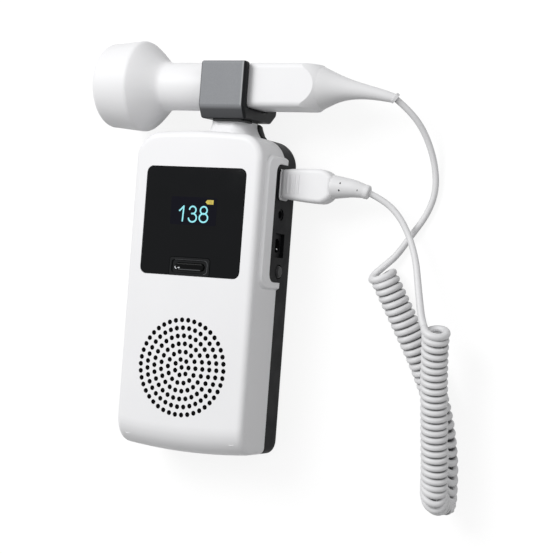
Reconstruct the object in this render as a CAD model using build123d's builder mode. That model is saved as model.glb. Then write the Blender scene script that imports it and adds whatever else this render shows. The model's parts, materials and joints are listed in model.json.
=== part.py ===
from build123d import *
import math
import os

# Fetal doppler monitor: a hand unit lying on its back, its probe in an open clip at the top
# end, and a curly cord from the probe's tail to a plug in the side of the unit.
# Origin: centre of the flat back. +Z out of the front face, +Y towards the probe clip,
# +X towards the sockets. Millimetres.

# ---- hand unit: overall form ----
case_width = 64.0
case_length = 143.0
case_thickness = 36.5
end_bow = 2.0            # both ends bow outwards by this much at the middle
top_corner = 12.0        # corner radius at the clip end, seen from the front
edge_round = 3.0
front_roll = 12.0        # the front face rolls over into the lower end
back_roll = 6.0
wall = 2.2
split_height = 13.5      # where the dark rear shell meets the white front shell
seam = 0.15              # gap round a fixed piece that shows in an opening
slip = 0.2               # gap round a piece that slides

half_width = case_width / 2
half_length = case_length / 2
front_inside = case_thickness - wall
side_inside = half_width - wall

# ---- window, display and bar button ----
window_width = 50.0
window_height = 48.1
window_corner = 3.0
window_margin = 40.5     # from the clip end to the window's middle
lens_thickness = 1.5
ledge = 1.8
notch_width = 20.4
notch_height = 8.0
notch_corner = 1.5
display_width = 26.7
display_height = 19.3
display_thickness = 1.5
display_rise = 4.6       # above the window's middle
bar_length = 14.6
bar_width = 3.2
bar_proud = 0.3
bar_travel = 0.4
dish_depth = 0.7
window_y = half_length - window_margin
lens_back = case_thickness - lens_thickness
window_bottom = window_y - window_height / 2
notch_y = window_bottom + notch_height / 2
display_y = window_y + display_rise

# ---- speaker ----
speaker_margin = 38.0    # from the lower end to the grille's middle
grille_pitch = 3.49      # from one ring of holes to the next
grille_rings = 6
holes_per_ring = 7       # ring n has n times this many
grille_hole = 1.1        # radius
speaker_radius = 22.6
mesh_thickness = 0.3
collar_wall = 1.4
collar_depth = 5.0
magnet_radius = 10.8
magnet_air = 1.8         # between the magnet and the battery bay
basket_depth = 8.8
speaker_y = speaker_margin - half_length

# ---- socket panel ----
panel_low = 7.0
panel_high = 59.0
panel_top = 24.0
panel_corner = 4.0
bezel_side = 2.6
bezel_front = 8.0
bezel_corner = 6.0
bezel_proud = 1.5
bezel_slope = 30         # degrees, of its outer wall
bezel_round = 0.7
usb_y = 50.75
usb_z = 14.0
usb_shell_width = 12.0
usb_shell_height = 4.5
usb_shell_length = 11.5
usb_metal = 0.45
usb_depth = 13.2
headphone_y = 37.1
headphone_z = 14.0
headphone_bore = 1.8     # radius
headphone_depth = 14.0
headphone_collar = 2.5   # radius
dc_y = 23.35
dc_z = 13.2
dc_opening_length = 10.7
dc_opening_height = 8.7
dc_bore = 3.2            # radius
dc_depth = 10.0
dc_pin_radius = 1.0
dc_recess = 1.6
side_button_y = 11.7
side_button_z = 12.3
side_button_radius = 2.9
side_button_proud = 0.7
side_button_travel = 0.5

# ---- boards and fasteners ----
board_thickness = 1.6
main_board_z = 24.0
main_board_width = 2 * side_inside - 2.8
main_board_low = -1.0
main_board_high = 57.0
main_boss_x = main_board_width / 2 - 2.1
main_boss_low = 3.0
main_boss_high = 53.0
port_board_z = 6.4
port_board_left = 9.0
port_board_low = 5.0
port_board_high = 57.3
port_post_x = 12.0
port_post_low = 9.0
port_post_high = 53.0
small_screw = 0.95       # shank radius
small_head = 1.7
small_head_height = 1.2
small_boss = 2.1
case_screw = 1.15
case_head = 2.3
case_head_height = 2.0
case_boss = 3.4
head_recess = 4.0
upper_screw = (half_width - 7.5, half_length - 10.5)
lower_screw = (half_width - 6.0, 9.5 - half_length)

# ---- batteries ----
cell_radius = 7.25
cell_length = 50.5       # with its button
cell_button = 1.5
cell_air = 0.5           # round each cell
spring_length = 7.2
bay_wall = 1.2
bay_margin = 5.5         # from the lower end to the bay
plate_thickness = 0.4
door_lip = 0.8           # the door reaches this far past the bay on each side
door_tongue = 1.0
door_outer = 1.0         # outer layer, under the tongues
door_thickness = 1.8
cell_x = cell_radius + cell_air / 2
bay_half = cell_x + cell_radius + cell_air
bay_low = bay_margin - half_length
bay_high = bay_low + cell_length + spring_length + 2 * plate_thickness
bay_roof = door_thickness + slip + 2 * cell_radius + cell_air
door_half = bay_half + door_lip
door_top = bay_high + 0.5

# ---- back of the unit ----
label_y = 33.0
label_width = 40.0
label_height = 26.0
label_depth = 0.3
groove_count = 5         # thumb grooves in the battery door
groove_pitch = 2.6
groove_length = 18.0
groove_width = 1.2
groove_depth = 0.4

# ---- neck and probe clip ----
clip_x = 8.2
clip_width = 20.0
neck_z = 19.0
neck_length = 5.9        # past the clip end
neck_width = 16.8
neck_depth = 19.4
stem_width = 6.0
stem_depth = 10.0
flange_width = 10.0
flange_depth = 14.0
flange_thickness = 1.8
clip_front = 35.2
clip_back = 1.2
clip_height = 25.4
clip_bevel_y = 5.8
clip_bevel_z = 3.2
back_bevel_y = 4.2
back_bevel_z = 4.6
clip_round = 1.3
clip_base = 5.5          # from the neck to the clip's floor
neck_top = half_length + neck_length
clip_top = neck_top + clip_height
flange_high = neck_top - 5.4
flange_low = flange_high - flange_thickness

# ---- probe ----
probe_z = 20.8
head_radius = 20.6
rim_radius = 19.3
face_x = -57.0
rim_x = -38.9            # edge between the rim and the flare
neck_radius = 10.8
neck_start_x = -22.5
grip_half = 9.8
grip_corner = 2.5
grip_clearance = 0.2
tail_x = 51.5
tail_radius = 9.2
bore_radius = 8.0
face_thickness = 2.4
face_radius = 16.9
crystal_radius = 12.0
crystal_thickness = 1.5
crystal_gap = 1.0
backing_thickness = 6.0
probe_slide = 40.0
grip_start_x = clip_x - clip_width / 2 - 0.5
probe_y = neck_top + clip_base + grip_clearance + grip_half

# ---- cord ----
cord_radius = 1.4
relief_lip = 0.4         # the collar at a strain relief's tip stands this proud
relief_lip_length = 1.3
coil_radius = 6.0
plug_face_x = half_width + 0.6
plug_z = usb_z

plug_relief_end = (plug_face_x + 40.4, usb_y - 2.15, plug_z - 1.0)

# Points of the cord, chosen by hand. The tails end on the flat ends of the coil.
probe_cord_points = [
    (84.7, 88.83, 17.26),
    (90.8, 83.6, 12.9),
    (95.9, 74.5, 7.4),
    (99.2, 62.5, 3.2),
    (99.9, 51.0, 1.8),
    (96.4, 40.6, 1.8),
    (89.4, 30.9, 1.8),
    (84.3, 22.8, 2.5),
    (79.3, 17.6, 4.4),
    (75.4, 15.4, 5.8),
    (75.1, 12.65, 6.3),
]
coil_points = [
    (79.4, 14.2, 6.3),
    (84.92, 5.03, 6.3),
    (91.7, -6.3, 6.3),
    (98.3, -17.4, 6.3),
    (104.1, -28.2, 6.3),
    (108.6, -39.0, 6.3),
    (111.8, -48.9, 6.3),
    (113.8, -58.4, 6.3),
    (115.0, -68.0, 6.3),
    (115.1, -79.7, 6.3),
    (115.4, -79.7, 19.3),
    (115.2, -68.0, 19.3),
    (114.1, -56.5, 19.2),
    (113.0, -44.5, 19.0),
    (112.0, -32.5, 19.0),
    (111.2, -20.5, 19.3),
    (111.4, -8.9, 20.0),
]
hairpin_corners = (9, 10)
hairpin_radius = 6.3
plug_cord_points = [
    plug_relief_end,
    (79.3, 45.9, 10.6),
    (86.4, 39.8, 9.2),
    (92.3, 30.6, 9.5),
    (96.6, 20.4, 11.9),
    (99.9, 10.9, 15.4),
    (103.2, 1.8, 18.8),
    (106.4, -7.9, 20.2),
]


# ---- shared forms ----
def case_outline(inset):
    """The unit seen from the front: straight sides, bowed ends, round corners at the clip end."""
    half = half_width - inset
    end = half_length - inset
    shoulder = end - end_bow
    with BuildSketch() as outline:
        with BuildLine():
            Line((-half, -shoulder), (-half, shoulder))
            ThreePointArc((-half, shoulder), (0, end), (half, shoulder))
            Line((half, shoulder), (half, -shoulder))
            ThreePointArc((half, -shoulder), (0, -end), (-half, -shoulder))
        make_face()
        fillet(outline.vertices().group_by(Axis.Y)[-1], top_corner - inset)
    return outline.sketch


def rounded_chain(form, half, flat_z):
    """Edges of one face and the lower corners, which take one continuous edge radius."""
    chosen = []
    for edge in form.edges():
        middle = edge.center()
        on_side = abs(abs(middle.X) - half) < 0.01
        upright = abs(edge.tangent_at(0.5).Z) > 0.999
        on_flat = abs(middle.Z - flat_z) < 0.01
        on_split = abs(middle.Z - split_height) < 0.01
        lower = middle.Y < 0
        if on_split or (upright and not lower):
            continue
        if on_side or (on_flat and not lower):
            chosen.append(edge)
    return chosen


def front_form(inset):
    """Front half of the unit as a solid, made smaller by inset."""
    outline = case_outline(inset)
    height = case_thickness - inset - split_height
    with BuildPart() as form:
        with BuildSketch(Plane.XY.offset(split_height)):
            add(outline)
        extrude(amount=height)
        fillet(form.faces().sort_by(Axis.Z)[-1].edges().sort_by(Axis.Y)[0], front_roll - inset)
        fillet(rounded_chain(form, half_width - inset, case_thickness - inset), edge_round - inset)
    return form.part


def rear_form(inset):
    """Rear half of the unit as a solid, made smaller by inset."""
    outline = case_outline(inset)
    with BuildPart() as form:
        with BuildSketch(Plane.XY.offset(inset)):
            add(outline)
        extrude(amount=split_height - inset)
        fillet(form.faces().sort_by(Axis.Z)[0].edges().sort_by(Axis.Y)[0], back_roll - inset)
        fillet(rounded_chain(form, half_width - inset, inset), edge_round - inset)
    return form.part


def panel_outline(grow):
    """Socket panel seen from the side, open towards the rear shell."""
    low = panel_low - grow
    high = panel_high + grow
    top = panel_top + grow
    base = split_height - 1.0
    with BuildSketch() as outline:
        with Locations(((low + high) / 2, (base + top) / 2)):
            Rectangle(high - low, top - base)
        fillet(outline.vertices().group_by(Axis.Y)[-1], panel_corner + grow)
    return outline.sketch


def probe_plane(x):
    """Plane across the probe's axis, its normal along +X."""
    return Plane(origin=(x, probe_y, probe_z), x_dir=(0, 1, 0), z_dir=(1, 0, 0))


def side_plane(x, y, z):
    """Plane across a socket's axis, local x along +Y and its normal along +X."""
    return Plane(origin=(x, y, z), x_dir=(0, 1, 0), z_dir=(1, 0, 0))


def dome(rim, apex):
    """Arc from a rim point (height, radius) to its apex on the axis, square to the axis there."""
    height = rim[0] - apex
    sphere = (rim[1] ** 2 + height ** 2) / (2 * height)
    angle = math.asin(rim[1] / abs(sphere)) / 2
    middle = (apex + sphere * (1 - math.cos(angle)), abs(sphere) * math.sin(angle))
    return ThreePointArc(rim, middle, (apex, 0))


probe_axis = Axis((0, probe_y, probe_z), (1, 0, 0))
probe_section = Plane(origin=(0, probe_y, probe_z), x_dir=(1, 0, 0), z_dir=(0, 0, 1))


def finish(piece, label):
    """Name a finished piece and write its file."""
    piece.part.label = label
    export_step(piece.part, "parts/" + label + ".step")


os.makedirs("parts", exist_ok=True)

front_solid = front_form(0)
front_hollow = front_form(wall)
rear_solid = rear_form(0)
rear_hollow = rear_form(wall)

# ---- neck: the two shells close round the clip's stem ----
neck_sections = [
    (neck_top - 9.9, neck_width + 9.0, neck_depth + 7.0, 9.0),
    (neck_top - 5.9, neck_width + 4.2, neck_depth + 3.2, 7.0),
    (neck_top - 3.2, neck_width + 0.9, neck_depth + 0.8, 5.5),
    (neck_top, neck_width, neck_depth, 5.0),
]
with BuildPart() as neck:
    for height, width, depth, corner in neck_sections:
        with BuildSketch(Plane(origin=(clip_x, height, neck_z), x_dir=(1, 0, 0), z_dir=(0, 1, 0))):
            RectangleRounded(width, depth, corner)
    loft()

with BuildPart() as stem_room:
    with Locations((clip_x, (flange_high + neck_top) / 2 + 1, neck_z)):
        Box(stem_width + 2 * slip, neck_top - flange_high + 4, stem_depth + 2 * slip)
    with Locations((clip_x, flange_low, neck_z)):
        Box(flange_width + 2 * slip, 2 * (flange_thickness + slip), flange_depth + 2 * slip)

split_plane = Plane.XY.offset(split_height)
neck_front = split(neck.part, bisect_by=split_plane, keep=Keep.TOP)
neck_rear = split(neck.part, bisect_by=split_plane, keep=Keep.BOTTOM)

# ---- raised bezel round the socket panel ----
bezel_foot = bezel_side + bezel_proud * math.tan(math.radians(bezel_slope))
bezel_base = split_height - 5.0
with BuildPart() as bezel_block:
    with BuildSketch(Plane.YZ.offset(half_width)) as bezel_outline:
        with Locations(((panel_low + panel_high) / 2, (bezel_base + panel_top + bezel_front) / 2)):
            Rectangle(panel_high - panel_low + 2 * bezel_foot,
                      panel_top + bezel_front - bezel_base)
        fillet(bezel_outline.vertices().group_by(Axis.Y)[-1], bezel_corner)
    extrude(amount=bezel_proud, taper=bezel_slope)
    rim = bezel_block.faces().sort_by(Axis.X)[-1].edges()
    fillet([edge for edge in rim if edge.center().Z > split_height], bezel_round)
    with BuildSketch(Plane.YZ.offset(half_width - wall)):
        add(bezel_outline.sketch.moved(Location((-wall, 0, 0))))
    extrude(amount=wall + 0.01)
bezel = split(bezel_block.part, bisect_by=Plane.XY.offset(split_height), keep=Keep.TOP)

# ---- front shell ----
screw_places = [
    upper_screw,
    (-upper_screw[0], upper_screw[1]),
    lower_screw,
    (-lower_screw[0], lower_screw[1]),
]
main_boss_places = [
    (main_boss_x, main_boss_low),
    (-main_boss_x, main_boss_low),
    (main_boss_x, main_boss_high),
    (-main_boss_x, main_boss_high),
]
with BuildPart() as front_case:
    add(front_solid)
    add(bezel)
    add(neck_front)
    add(front_hollow, mode=Mode.SUBTRACT)
    add(stem_room.part, mode=Mode.SUBTRACT)
    # socket panel opening
    with BuildSketch(Plane.YZ.offset(side_inside - 1)):
        add(panel_outline(seam))
    extrude(amount=wall + bezel_proud + 2, mode=Mode.SUBTRACT)
    # window pocket and the opening behind it
    with BuildSketch(Plane.XY.offset(case_thickness)):
        with Locations((0, window_y)):
            RectangleRounded(window_width + 2 * seam, window_height + 2 * seam, window_corner + seam)
    extrude(amount=-lens_thickness, mode=Mode.SUBTRACT)
    with BuildSketch(Plane.XY.offset(case_thickness)):
        with Locations((0, window_y)):
            RectangleRounded(window_width - 2 * ledge, window_height - 2 * ledge, window_corner)
    extrude(amount=-2 * wall, mode=Mode.SUBTRACT)
    # speaker collar
    with BuildSketch(Plane.XY.offset(front_inside)):
        with Locations((0, speaker_y)):
            Circle(speaker_radius + slip + collar_wall)
            Circle(speaker_radius + slip, mode=Mode.SUBTRACT)
    extrude(amount=-collar_depth)
    # bosses for the case screws and the main board
    with BuildSketch(Plane.XY.offset(split_height)):
        with Locations(*screw_places):
            Circle(case_boss)
    extrude(amount=front_inside - split_height)
    with BuildSketch(Plane.XY.offset(main_board_z + board_thickness)):
        with Locations(*main_boss_places):
            Circle(small_boss)
    extrude(amount=front_inside - main_board_z - board_thickness)
    with BuildSketch(Plane.XY.offset(split_height)):
        with Locations(*screw_places):
            Circle(case_screw + 0.05)
    extrude(amount=14, mode=Mode.SUBTRACT)
    with BuildSketch(Plane.XY.offset(main_board_z + board_thickness)):
        with Locations(*main_boss_places):
            Circle(small_screw + 0.05)
    extrude(amount=5, mode=Mode.SUBTRACT)
    # grille: one hole in the middle, then rings of 7, 14, 21 ... holes
    with BuildSketch(Plane.XY.offset(case_thickness)):
        with Locations((0, speaker_y)):
            Circle(grille_hole)
            for ring in range(1, grille_rings + 1):
                with PolarLocations(ring * grille_pitch, ring * holes_per_ring):
                    Circle(grille_hole)
    extrude(amount=-2 * wall, mode=Mode.SUBTRACT)
finish(front_case, "front_case")

# ---- rear shell ----
with BuildPart() as rear_case:
    add(rear_solid)
    add(neck_rear)
    add(rear_hollow, mode=Mode.SUBTRACT)
    add(stem_room.part, mode=Mode.SUBTRACT)
    # socket panel, standing up into the front shell's opening
    with BuildSketch(Plane.YZ.offset(side_inside)):
        add(panel_outline(0))
    extrude(amount=wall)
    # battery bay with the rails that hold the door
    with BuildSketch(Plane.XY):
        with Locations((0, (bay_low + bay_high) / 2)):
            Rectangle(2 * (door_half + door_tongue + bay_wall), bay_high - bay_low + 2 * bay_wall)
    extrude(amount=door_thickness + slip + 1.5)
    with BuildSketch(Plane.XY):
        with Locations((0, (bay_low + bay_high) / 2)):
            Rectangle(2 * (bay_half + bay_wall), bay_high - bay_low + 2 * bay_wall)
    extrude(amount=bay_roof + bay_wall)
    with BuildSketch(Plane.XY):
        with Locations((0, (bay_low + bay_high) / 2)):
            Rectangle(2 * bay_half, bay_high - bay_low)
    extrude(amount=bay_roof, mode=Mode.SUBTRACT)
    door_room_length = half_length + door_top + seam
    with BuildSketch(Plane.XY):
        with Locations((0, door_top + seam - door_room_length / 2)):
            Rectangle(2 * (door_half + slip / 2), door_room_length)
    extrude(amount=door_outer, mode=Mode.SUBTRACT)
    with BuildSketch(Plane.XY.offset(door_outer - slip / 2)):
        with Locations((0, door_top + seam - door_room_length / 2)):
            Rectangle(2 * (door_half + door_tongue + slip / 2), door_room_length)
    extrude(amount=door_thickness - door_outer + slip, mode=Mode.SUBTRACT)
    # bosses and countersunk seats for the case screws
    with BuildSketch(Plane.XY):
        with Locations(*screw_places):
            Circle(case_boss)
    extrude(amount=split_height)
    with BuildSketch(Plane.XY):
        with Locations(*screw_places):
            Circle(case_head + seam)
    extrude(amount=head_recess, mode=Mode.SUBTRACT)
    with BuildSketch(Plane.XY):
        with Locations(*screw_places):
            Circle(case_screw + 0.1)
    extrude(amount=split_height, mode=Mode.SUBTRACT)
    # posts for the port board
    with BuildSketch(Plane.XY.offset(wall)):
        with Locations((port_post_x, port_post_low), (port_post_x, port_post_high)):
            Circle(small_boss)
            Circle(small_screw + 0.05, mode=Mode.SUBTRACT)
    extrude(amount=port_board_z - wall)
    # openings for the sockets and the side button
    with BuildSketch(side_plane(side_inside - 1, usb_y, usb_z)):
        Rectangle(usb_shell_width + 1.6, usb_shell_height + 1.8)
    extrude(amount=wall + 2, mode=Mode.SUBTRACT)
    with BuildSketch(side_plane(side_inside - 1, headphone_y, headphone_z)):
        Circle(headphone_collar + seam)
    extrude(amount=wall + 2, mode=Mode.SUBTRACT)
    with BuildSketch(side_plane(side_inside - 1, dc_y, dc_z)):
        Rectangle(dc_opening_length, dc_opening_height)
    extrude(amount=wall + 2, mode=Mode.SUBTRACT)
    with BuildSketch(side_plane(side_inside - 1, side_button_y, side_button_z)):
        Circle(side_button_radius + 2 * slip)
    extrude(amount=wall + 2, mode=Mode.SUBTRACT)
    with BuildSketch(Plane.XY):
        with Locations((0, label_y)):
            RectangleRounded(label_width, label_height, 2.0)
    extrude(amount=label_depth, mode=Mode.SUBTRACT)
finish(rear_case, "rear_case")

# ---- battery door: two layers, the inner one runs in the rear shell's rails ----
door_length = half_length + door_top
with BuildPart() as battery_door:
    with BuildSketch(Plane.XY):
        with Locations((0, door_top - door_length / 2)):
            Rectangle(2 * door_half, door_length)
    extrude(amount=door_outer)
    with BuildSketch(Plane.XY.offset(door_outer)):
        with Locations((0, door_top - door_length / 2)):
            Rectangle(2 * (door_half + door_tongue), door_length)
    extrude(amount=door_thickness - door_outer)
    add(rear_solid, mode=Mode.INTERSECT)
    with BuildSketch(Plane.XY):
        with Locations(*[(0, door_top - 9.0 - groove_pitch * n) for n in range(groove_count)]):
            SlotOverall(groove_length, groove_width)
    extrude(amount=groove_depth, mode=Mode.SUBTRACT)
finish(battery_door, "battery_door")

# ---- batteries and their contacts ----
cell_low = bay_low + plate_thickness
cell_high = bay_high - plate_thickness
cell_z = door_thickness + slip + cell_radius
with BuildPart() as battery_cells:
    for x, button_end, direction in ((cell_x, cell_high, -1), (-cell_x, cell_low, 1)):
        with BuildSketch(Plane(origin=(x, button_end, cell_z), x_dir=(1, 0, 0), z_dir=(0, direction, 0))):
            Circle(2.6)
        extrude(amount=cell_button)
        with BuildSketch(Plane(origin=(x, button_end + direction * cell_button, cell_z),
                               x_dir=(1, 0, 0), z_dir=(0, direction, 0))):
            Circle(cell_radius)
        extrude(amount=cell_length - cell_button)
finish(battery_cells, "battery_cells")

with BuildPart() as battery_contacts:
    for y in (bay_low + plate_thickness / 2, bay_high - plate_thickness / 2):
        with Locations((cell_x, y, cell_z), (-cell_x, y, cell_z)):
            Box(12.0, plate_thickness, 11.0)
finish(battery_contacts, "battery_contacts")

with BuildPart() as battery_springs:
    for x, y, direction in ((cell_x, cell_low, 1), (-cell_x, cell_high, -1)):
        with BuildSketch(Plane(origin=(x, y, cell_z), x_dir=(1, 0, 0), z_dir=(0, direction, 0))):
            Circle(4.4)
        extrude(amount=spring_length, taper=12)
finish(battery_springs, "battery_springs")

# ---- case screws ----
with BuildPart() as case_screws:
    with BuildSketch(Plane.XY.offset(head_recess)):
        with Locations(*screw_places):
            Circle(case_head)
    extrude(amount=-case_head_height)
    with BuildSketch(Plane.XY.offset(head_recess)):
        with Locations(*screw_places):
            Circle(case_screw)
    extrude(amount=20)
finish(case_screws, "case_screws")

# ---- main board and what stands on it ----
with BuildPart() as main_circuit_board:
    with BuildSketch(Plane.XY.offset(main_board_z)):
        with Locations((0, (main_board_low + main_board_high) / 2)):
            RectangleRounded(main_board_width, main_board_high - main_board_low, 3)
        with Locations(*main_boss_places):
            Circle(small_screw + 0.15, mode=Mode.SUBTRACT)
        with Locations(upper_screw, (-upper_screw[0], upper_screw[1])):
            Circle(case_boss + 0.8, mode=Mode.SUBTRACT)
    extrude(amount=board_thickness)
finish(main_circuit_board, "main_circuit_board")

with BuildPart() as display_carrier:
    with BuildSketch(Plane.XY.offset(main_board_z + board_thickness)):
        with Locations((0, display_y)):
            Rectangle(display_width + 2, display_height + 2)
            Rectangle(display_width - 2, display_height - 2, mode=Mode.SUBTRACT)
    extrude(amount=lens_back - 0.1 - display_thickness - main_board_z - board_thickness)
finish(display_carrier, "display_carrier")

with BuildPart() as display_module:
    with BuildSketch(Plane.XY.offset(lens_back - 0.1)):
        with Locations((0, display_y)):
            Rectangle(display_width, display_height)
    extrude(amount=-display_thickness)
finish(display_module, "display_module")

with BuildPart() as display_window:
    with BuildSketch(Plane.XY.offset(lens_back)):
        with Locations((0, window_y)):
            RectangleRounded(window_width, window_height, window_corner)
        with Locations((0, notch_y - 2)):
            RectangleRounded(notch_width, notch_height + 4, notch_corner, mode=Mode.SUBTRACT)
    extrude(amount=lens_thickness)
    chamfer(display_window.faces().sort_by(Axis.Z)[-1].edges(), 0.25)
finish(display_window, "display_window")

with BuildPart() as power_button_frame:
    with BuildSketch(Plane.XY.offset(lens_back)) as frame_outline:
        with Locations((0, notch_y)):
            Rectangle(notch_width - 2 * seam, notch_height)
        fillet(frame_outline.vertices().group_by(Axis.Y)[-1], notch_corner - seam)
    extrude(amount=lens_thickness)
    with BuildSketch(Plane.XY.offset(case_thickness)):
        with Locations((0, notch_y)):
            RectangleRounded(notch_width - 2.2, notch_height - 2.0, 1.4)
    extrude(amount=-dish_depth, taper=25, mode=Mode.SUBTRACT)
    with BuildSketch(Plane.XY.offset(case_thickness)):
        with Locations((0, notch_y)):
            SlotOverall(bar_length + 2 * slip, bar_width + 2 * slip)
    extrude(amount=-lens_thickness, mode=Mode.SUBTRACT)
finish(power_button_frame, "power_button_frame")

switch_top = main_board_z + board_thickness + 4.8
with BuildPart() as power_button:
    with BuildSketch(Plane.XY.offset(lens_back - 0.1)):
        with Locations((0, notch_y)):
            SlotOverall(bar_length, bar_width)
    extrude(amount=lens_thickness + 0.1 + bar_proud)
    fillet(power_button.faces().sort_by(Axis.Z)[-1].edges(), 0.6)
    with BuildSketch(Plane.XY.offset(lens_back - 0.1)):
        with Locations((0, notch_y)):
            SlotOverall(bar_length + 2.4, bar_width + 0.8)
    extrude(amount=-1.0)
    with BuildSketch(Plane.XY.offset(lens_back - 1.1)):
        with Locations((0, notch_y)):
            Circle(1.4)
    extrude(amount=-(lens_back - 1.1 - switch_top - bar_travel - 0.1))
finish(power_button, "power_button")

with BuildPart() as power_switch:
    with BuildSketch(Plane.XY.offset(main_board_z + board_thickness)):
        with Locations((0, notch_y)):
            RectangleRounded(6.0, 6.0, 0.5)
    extrude(amount=3.5)
    with BuildSketch(Plane.XY.offset(switch_top)):
        with Locations((0, notch_y)):
            Circle(1.7)
    extrude(amount=-1.4)
finish(power_switch, "power_switch")

# ---- speaker ----
mesh_back = front_inside - mesh_thickness
bay_ceiling = bay_roof + bay_wall
speaker_section = Plane(origin=(0, speaker_y, 0), x_dir=(0, 0, 1), z_dir=(0, 1, 0))
speaker_axis = Axis((0, speaker_y, 0), (0, 0, 1))
with BuildPart() as speaker_mesh:
    with BuildSketch(Plane.XY.offset(front_inside)):
        with Locations((0, speaker_y)):
            Circle(speaker_radius)
    extrude(amount=-mesh_thickness)
finish(speaker_mesh, "speaker_mesh")

basket_floor = mesh_back - basket_depth
with BuildPart() as speaker_frame:
    with BuildSketch(speaker_section):
        with BuildLine():
            Polyline(
                (mesh_back, speaker_radius),
                (mesh_back, speaker_radius - 2.4),
                (mesh_back - 1.2, speaker_radius - 2.4),
                (basket_floor + 1.0, magnet_radius - 0.6),
                (basket_floor + 1.0, magnet_radius - 2.8),
                (basket_floor, magnet_radius - 2.8),
                (basket_floor, magnet_radius),
                (mesh_back - 2.0, speaker_radius - 1.4),
                (mesh_back - 2.0, speaker_radius),
                close=True,
            )
        make_face()
    revolve(axis=speaker_axis)
finish(speaker_frame, "speaker_frame")

cone_radius = speaker_radius - 2.6
cone_bottom = mesh_back - 5.0
cap_radius = 6.2
cap_height = mesh_back - 3.4
with BuildPart() as speaker_cone:
    with BuildSketch(speaker_section):
        with BuildLine():
            Polyline(
                (cap_height, 0),
                (cap_height - 0.5, 0),
                (cone_bottom - 0.6, cap_radius),
                (mesh_back - 1.1, cone_radius - 1.8),
                (mesh_back - 0.9, cone_radius),
                (mesh_back - 0.4, cone_radius),
            )
            ThreePointArc(
                (mesh_back - 0.4, cone_radius),
                (mesh_back - 0.1, cone_radius - 0.9),
                (mesh_back - 0.5, cone_radius - 1.8),
            )
            Line((mesh_back - 0.5, cone_radius - 1.8), (cone_bottom, cap_radius))
            dome((cone_bottom, cap_radius), cap_height)
        make_face()
    revolve(axis=speaker_axis)
finish(speaker_cone, "speaker_cone")

with BuildPart() as speaker_magnet:
    with BuildSketch(Plane.XY.offset(basket_floor)):
        with Locations((0, speaker_y)):
            Circle(magnet_radius)
    extrude(amount=-(basket_floor - bay_ceiling - magnet_air))
    chamfer(speaker_magnet.faces().sort_by(Axis.Z)[0].edges(), 0.6)
finish(speaker_magnet, "speaker_magnet")

# ---- port board and its sockets ----
port_top = port_board_z + board_thickness
with BuildPart() as port_circuit_board:
    with BuildSketch(Plane.XY.offset(port_board_z)):
        with Locations(((port_board_left + side_inside - slip) / 2,
                        (port_board_low + port_board_high) / 2)):
            Rectangle(side_inside - slip - port_board_left, port_board_high - port_board_low)
        with Locations((port_post_x, port_post_low), (port_post_x, port_post_high)):
            Circle(small_screw + 0.15, mode=Mode.SUBTRACT)
    extrude(amount=board_thickness)
finish(port_circuit_board, "port_circuit_board")

with BuildPart() as board_screws:
    with BuildSketch(Plane.XY.offset(main_board_z)):
        with Locations(*main_boss_places):
            Circle(small_head)
    extrude(amount=-small_head_height)
    with BuildSketch(Plane.XY.offset(main_board_z)):
        with Locations(*main_boss_places):
            Circle(small_screw)
    extrude(amount=6)
    with BuildSketch(Plane.XY.offset(port_top)):
        with Locations((port_post_x, port_post_low), (port_post_x, port_post_high)):
            Circle(small_head)
    extrude(amount=small_head_height)
    with BuildSketch(Plane.XY.offset(port_top)):
        with Locations((port_post_x, port_post_low), (port_post_x, port_post_high)):
            Circle(small_screw)
    extrude(amount=-5)
finish(board_screws, "board_screws")

usb_front = half_width - 1.0
usb_inner_width = usb_shell_width + 2 * seam
usb_inner_height = usb_shell_height + 2 * slip
usb_low = usb_z - usb_inner_height / 2 - usb_metal
with BuildPart() as usb_socket:
    with BuildSketch(side_plane(usb_front, usb_y, usb_z)):
        Rectangle(usb_inner_width + 2 * usb_metal, usb_inner_height + 2 * usb_metal)
        Rectangle(usb_inner_width, usb_inner_height, mode=Mode.SUBTRACT)
    extrude(amount=-usb_depth)
    with BuildSketch(Plane.XY.offset(port_top)):
        with Locations((usb_front - usb_depth / 2 - 1, usb_y)):
            Rectangle(usb_depth - 2, usb_inner_width)
    extrude(amount=usb_low - port_top)
finish(usb_socket, "usb_socket")

usb_back = usb_front - usb_depth
with BuildPart() as usb_socket_tongue:
    with BuildSketch(side_plane(usb_back, usb_y, usb_z)):
        Rectangle(usb_inner_width, usb_inner_height)
    extrude(amount=0.8)
    with BuildSketch(side_plane(usb_back, usb_y, usb_z + 0.95)):
        Rectangle(11.0, 1.6)
    extrude(amount=usb_depth - 2.5)
finish(usb_socket_tongue, "usb_socket_tongue")

with BuildPart() as headphone_jack:
    with BuildSketch(Plane.XY.offset(port_top)):
        with Locations((side_inside - slip - headphone_depth / 2, headphone_y)):
            Rectangle(headphone_depth, 6.2)
    extrude(amount=headphone_z + 3.0 - port_top)
    with BuildSketch(side_plane(side_inside - slip, headphone_y, headphone_z)):
        Circle(headphone_collar)
    extrude(amount=wall - 0.3)
    with BuildSketch(side_plane(side_inside + wall, headphone_y, headphone_z)):
        Circle(headphone_bore)
    extrude(amount=-headphone_depth - 1, mode=Mode.SUBTRACT)
finish(headphone_jack, "headphone_jack")

dc_front = half_width - dc_recess
dc_body = 13.0
with BuildPart() as dc_jack:
    with BuildSketch(Plane.XY.offset(port_top)):
        with Locations((side_inside - slip - dc_body / 2, dc_y)):
            Rectangle(dc_body, dc_opening_length - 2 * seam)
    extrude(amount=dc_z + dc_opening_height / 2 - seam - port_top)
    with BuildSketch(side_plane(side_inside - slip, dc_y, dc_z)):
        Rectangle(dc_opening_length - 2 * seam, dc_opening_height - 2 * seam)
    extrude(amount=dc_front - side_inside + slip)
    with BuildSketch(side_plane(dc_front, dc_y, dc_z)):
        Circle(dc_bore)
    extrude(amount=-dc_depth, mode=Mode.SUBTRACT)
finish(dc_jack, "dc_jack")

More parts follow.
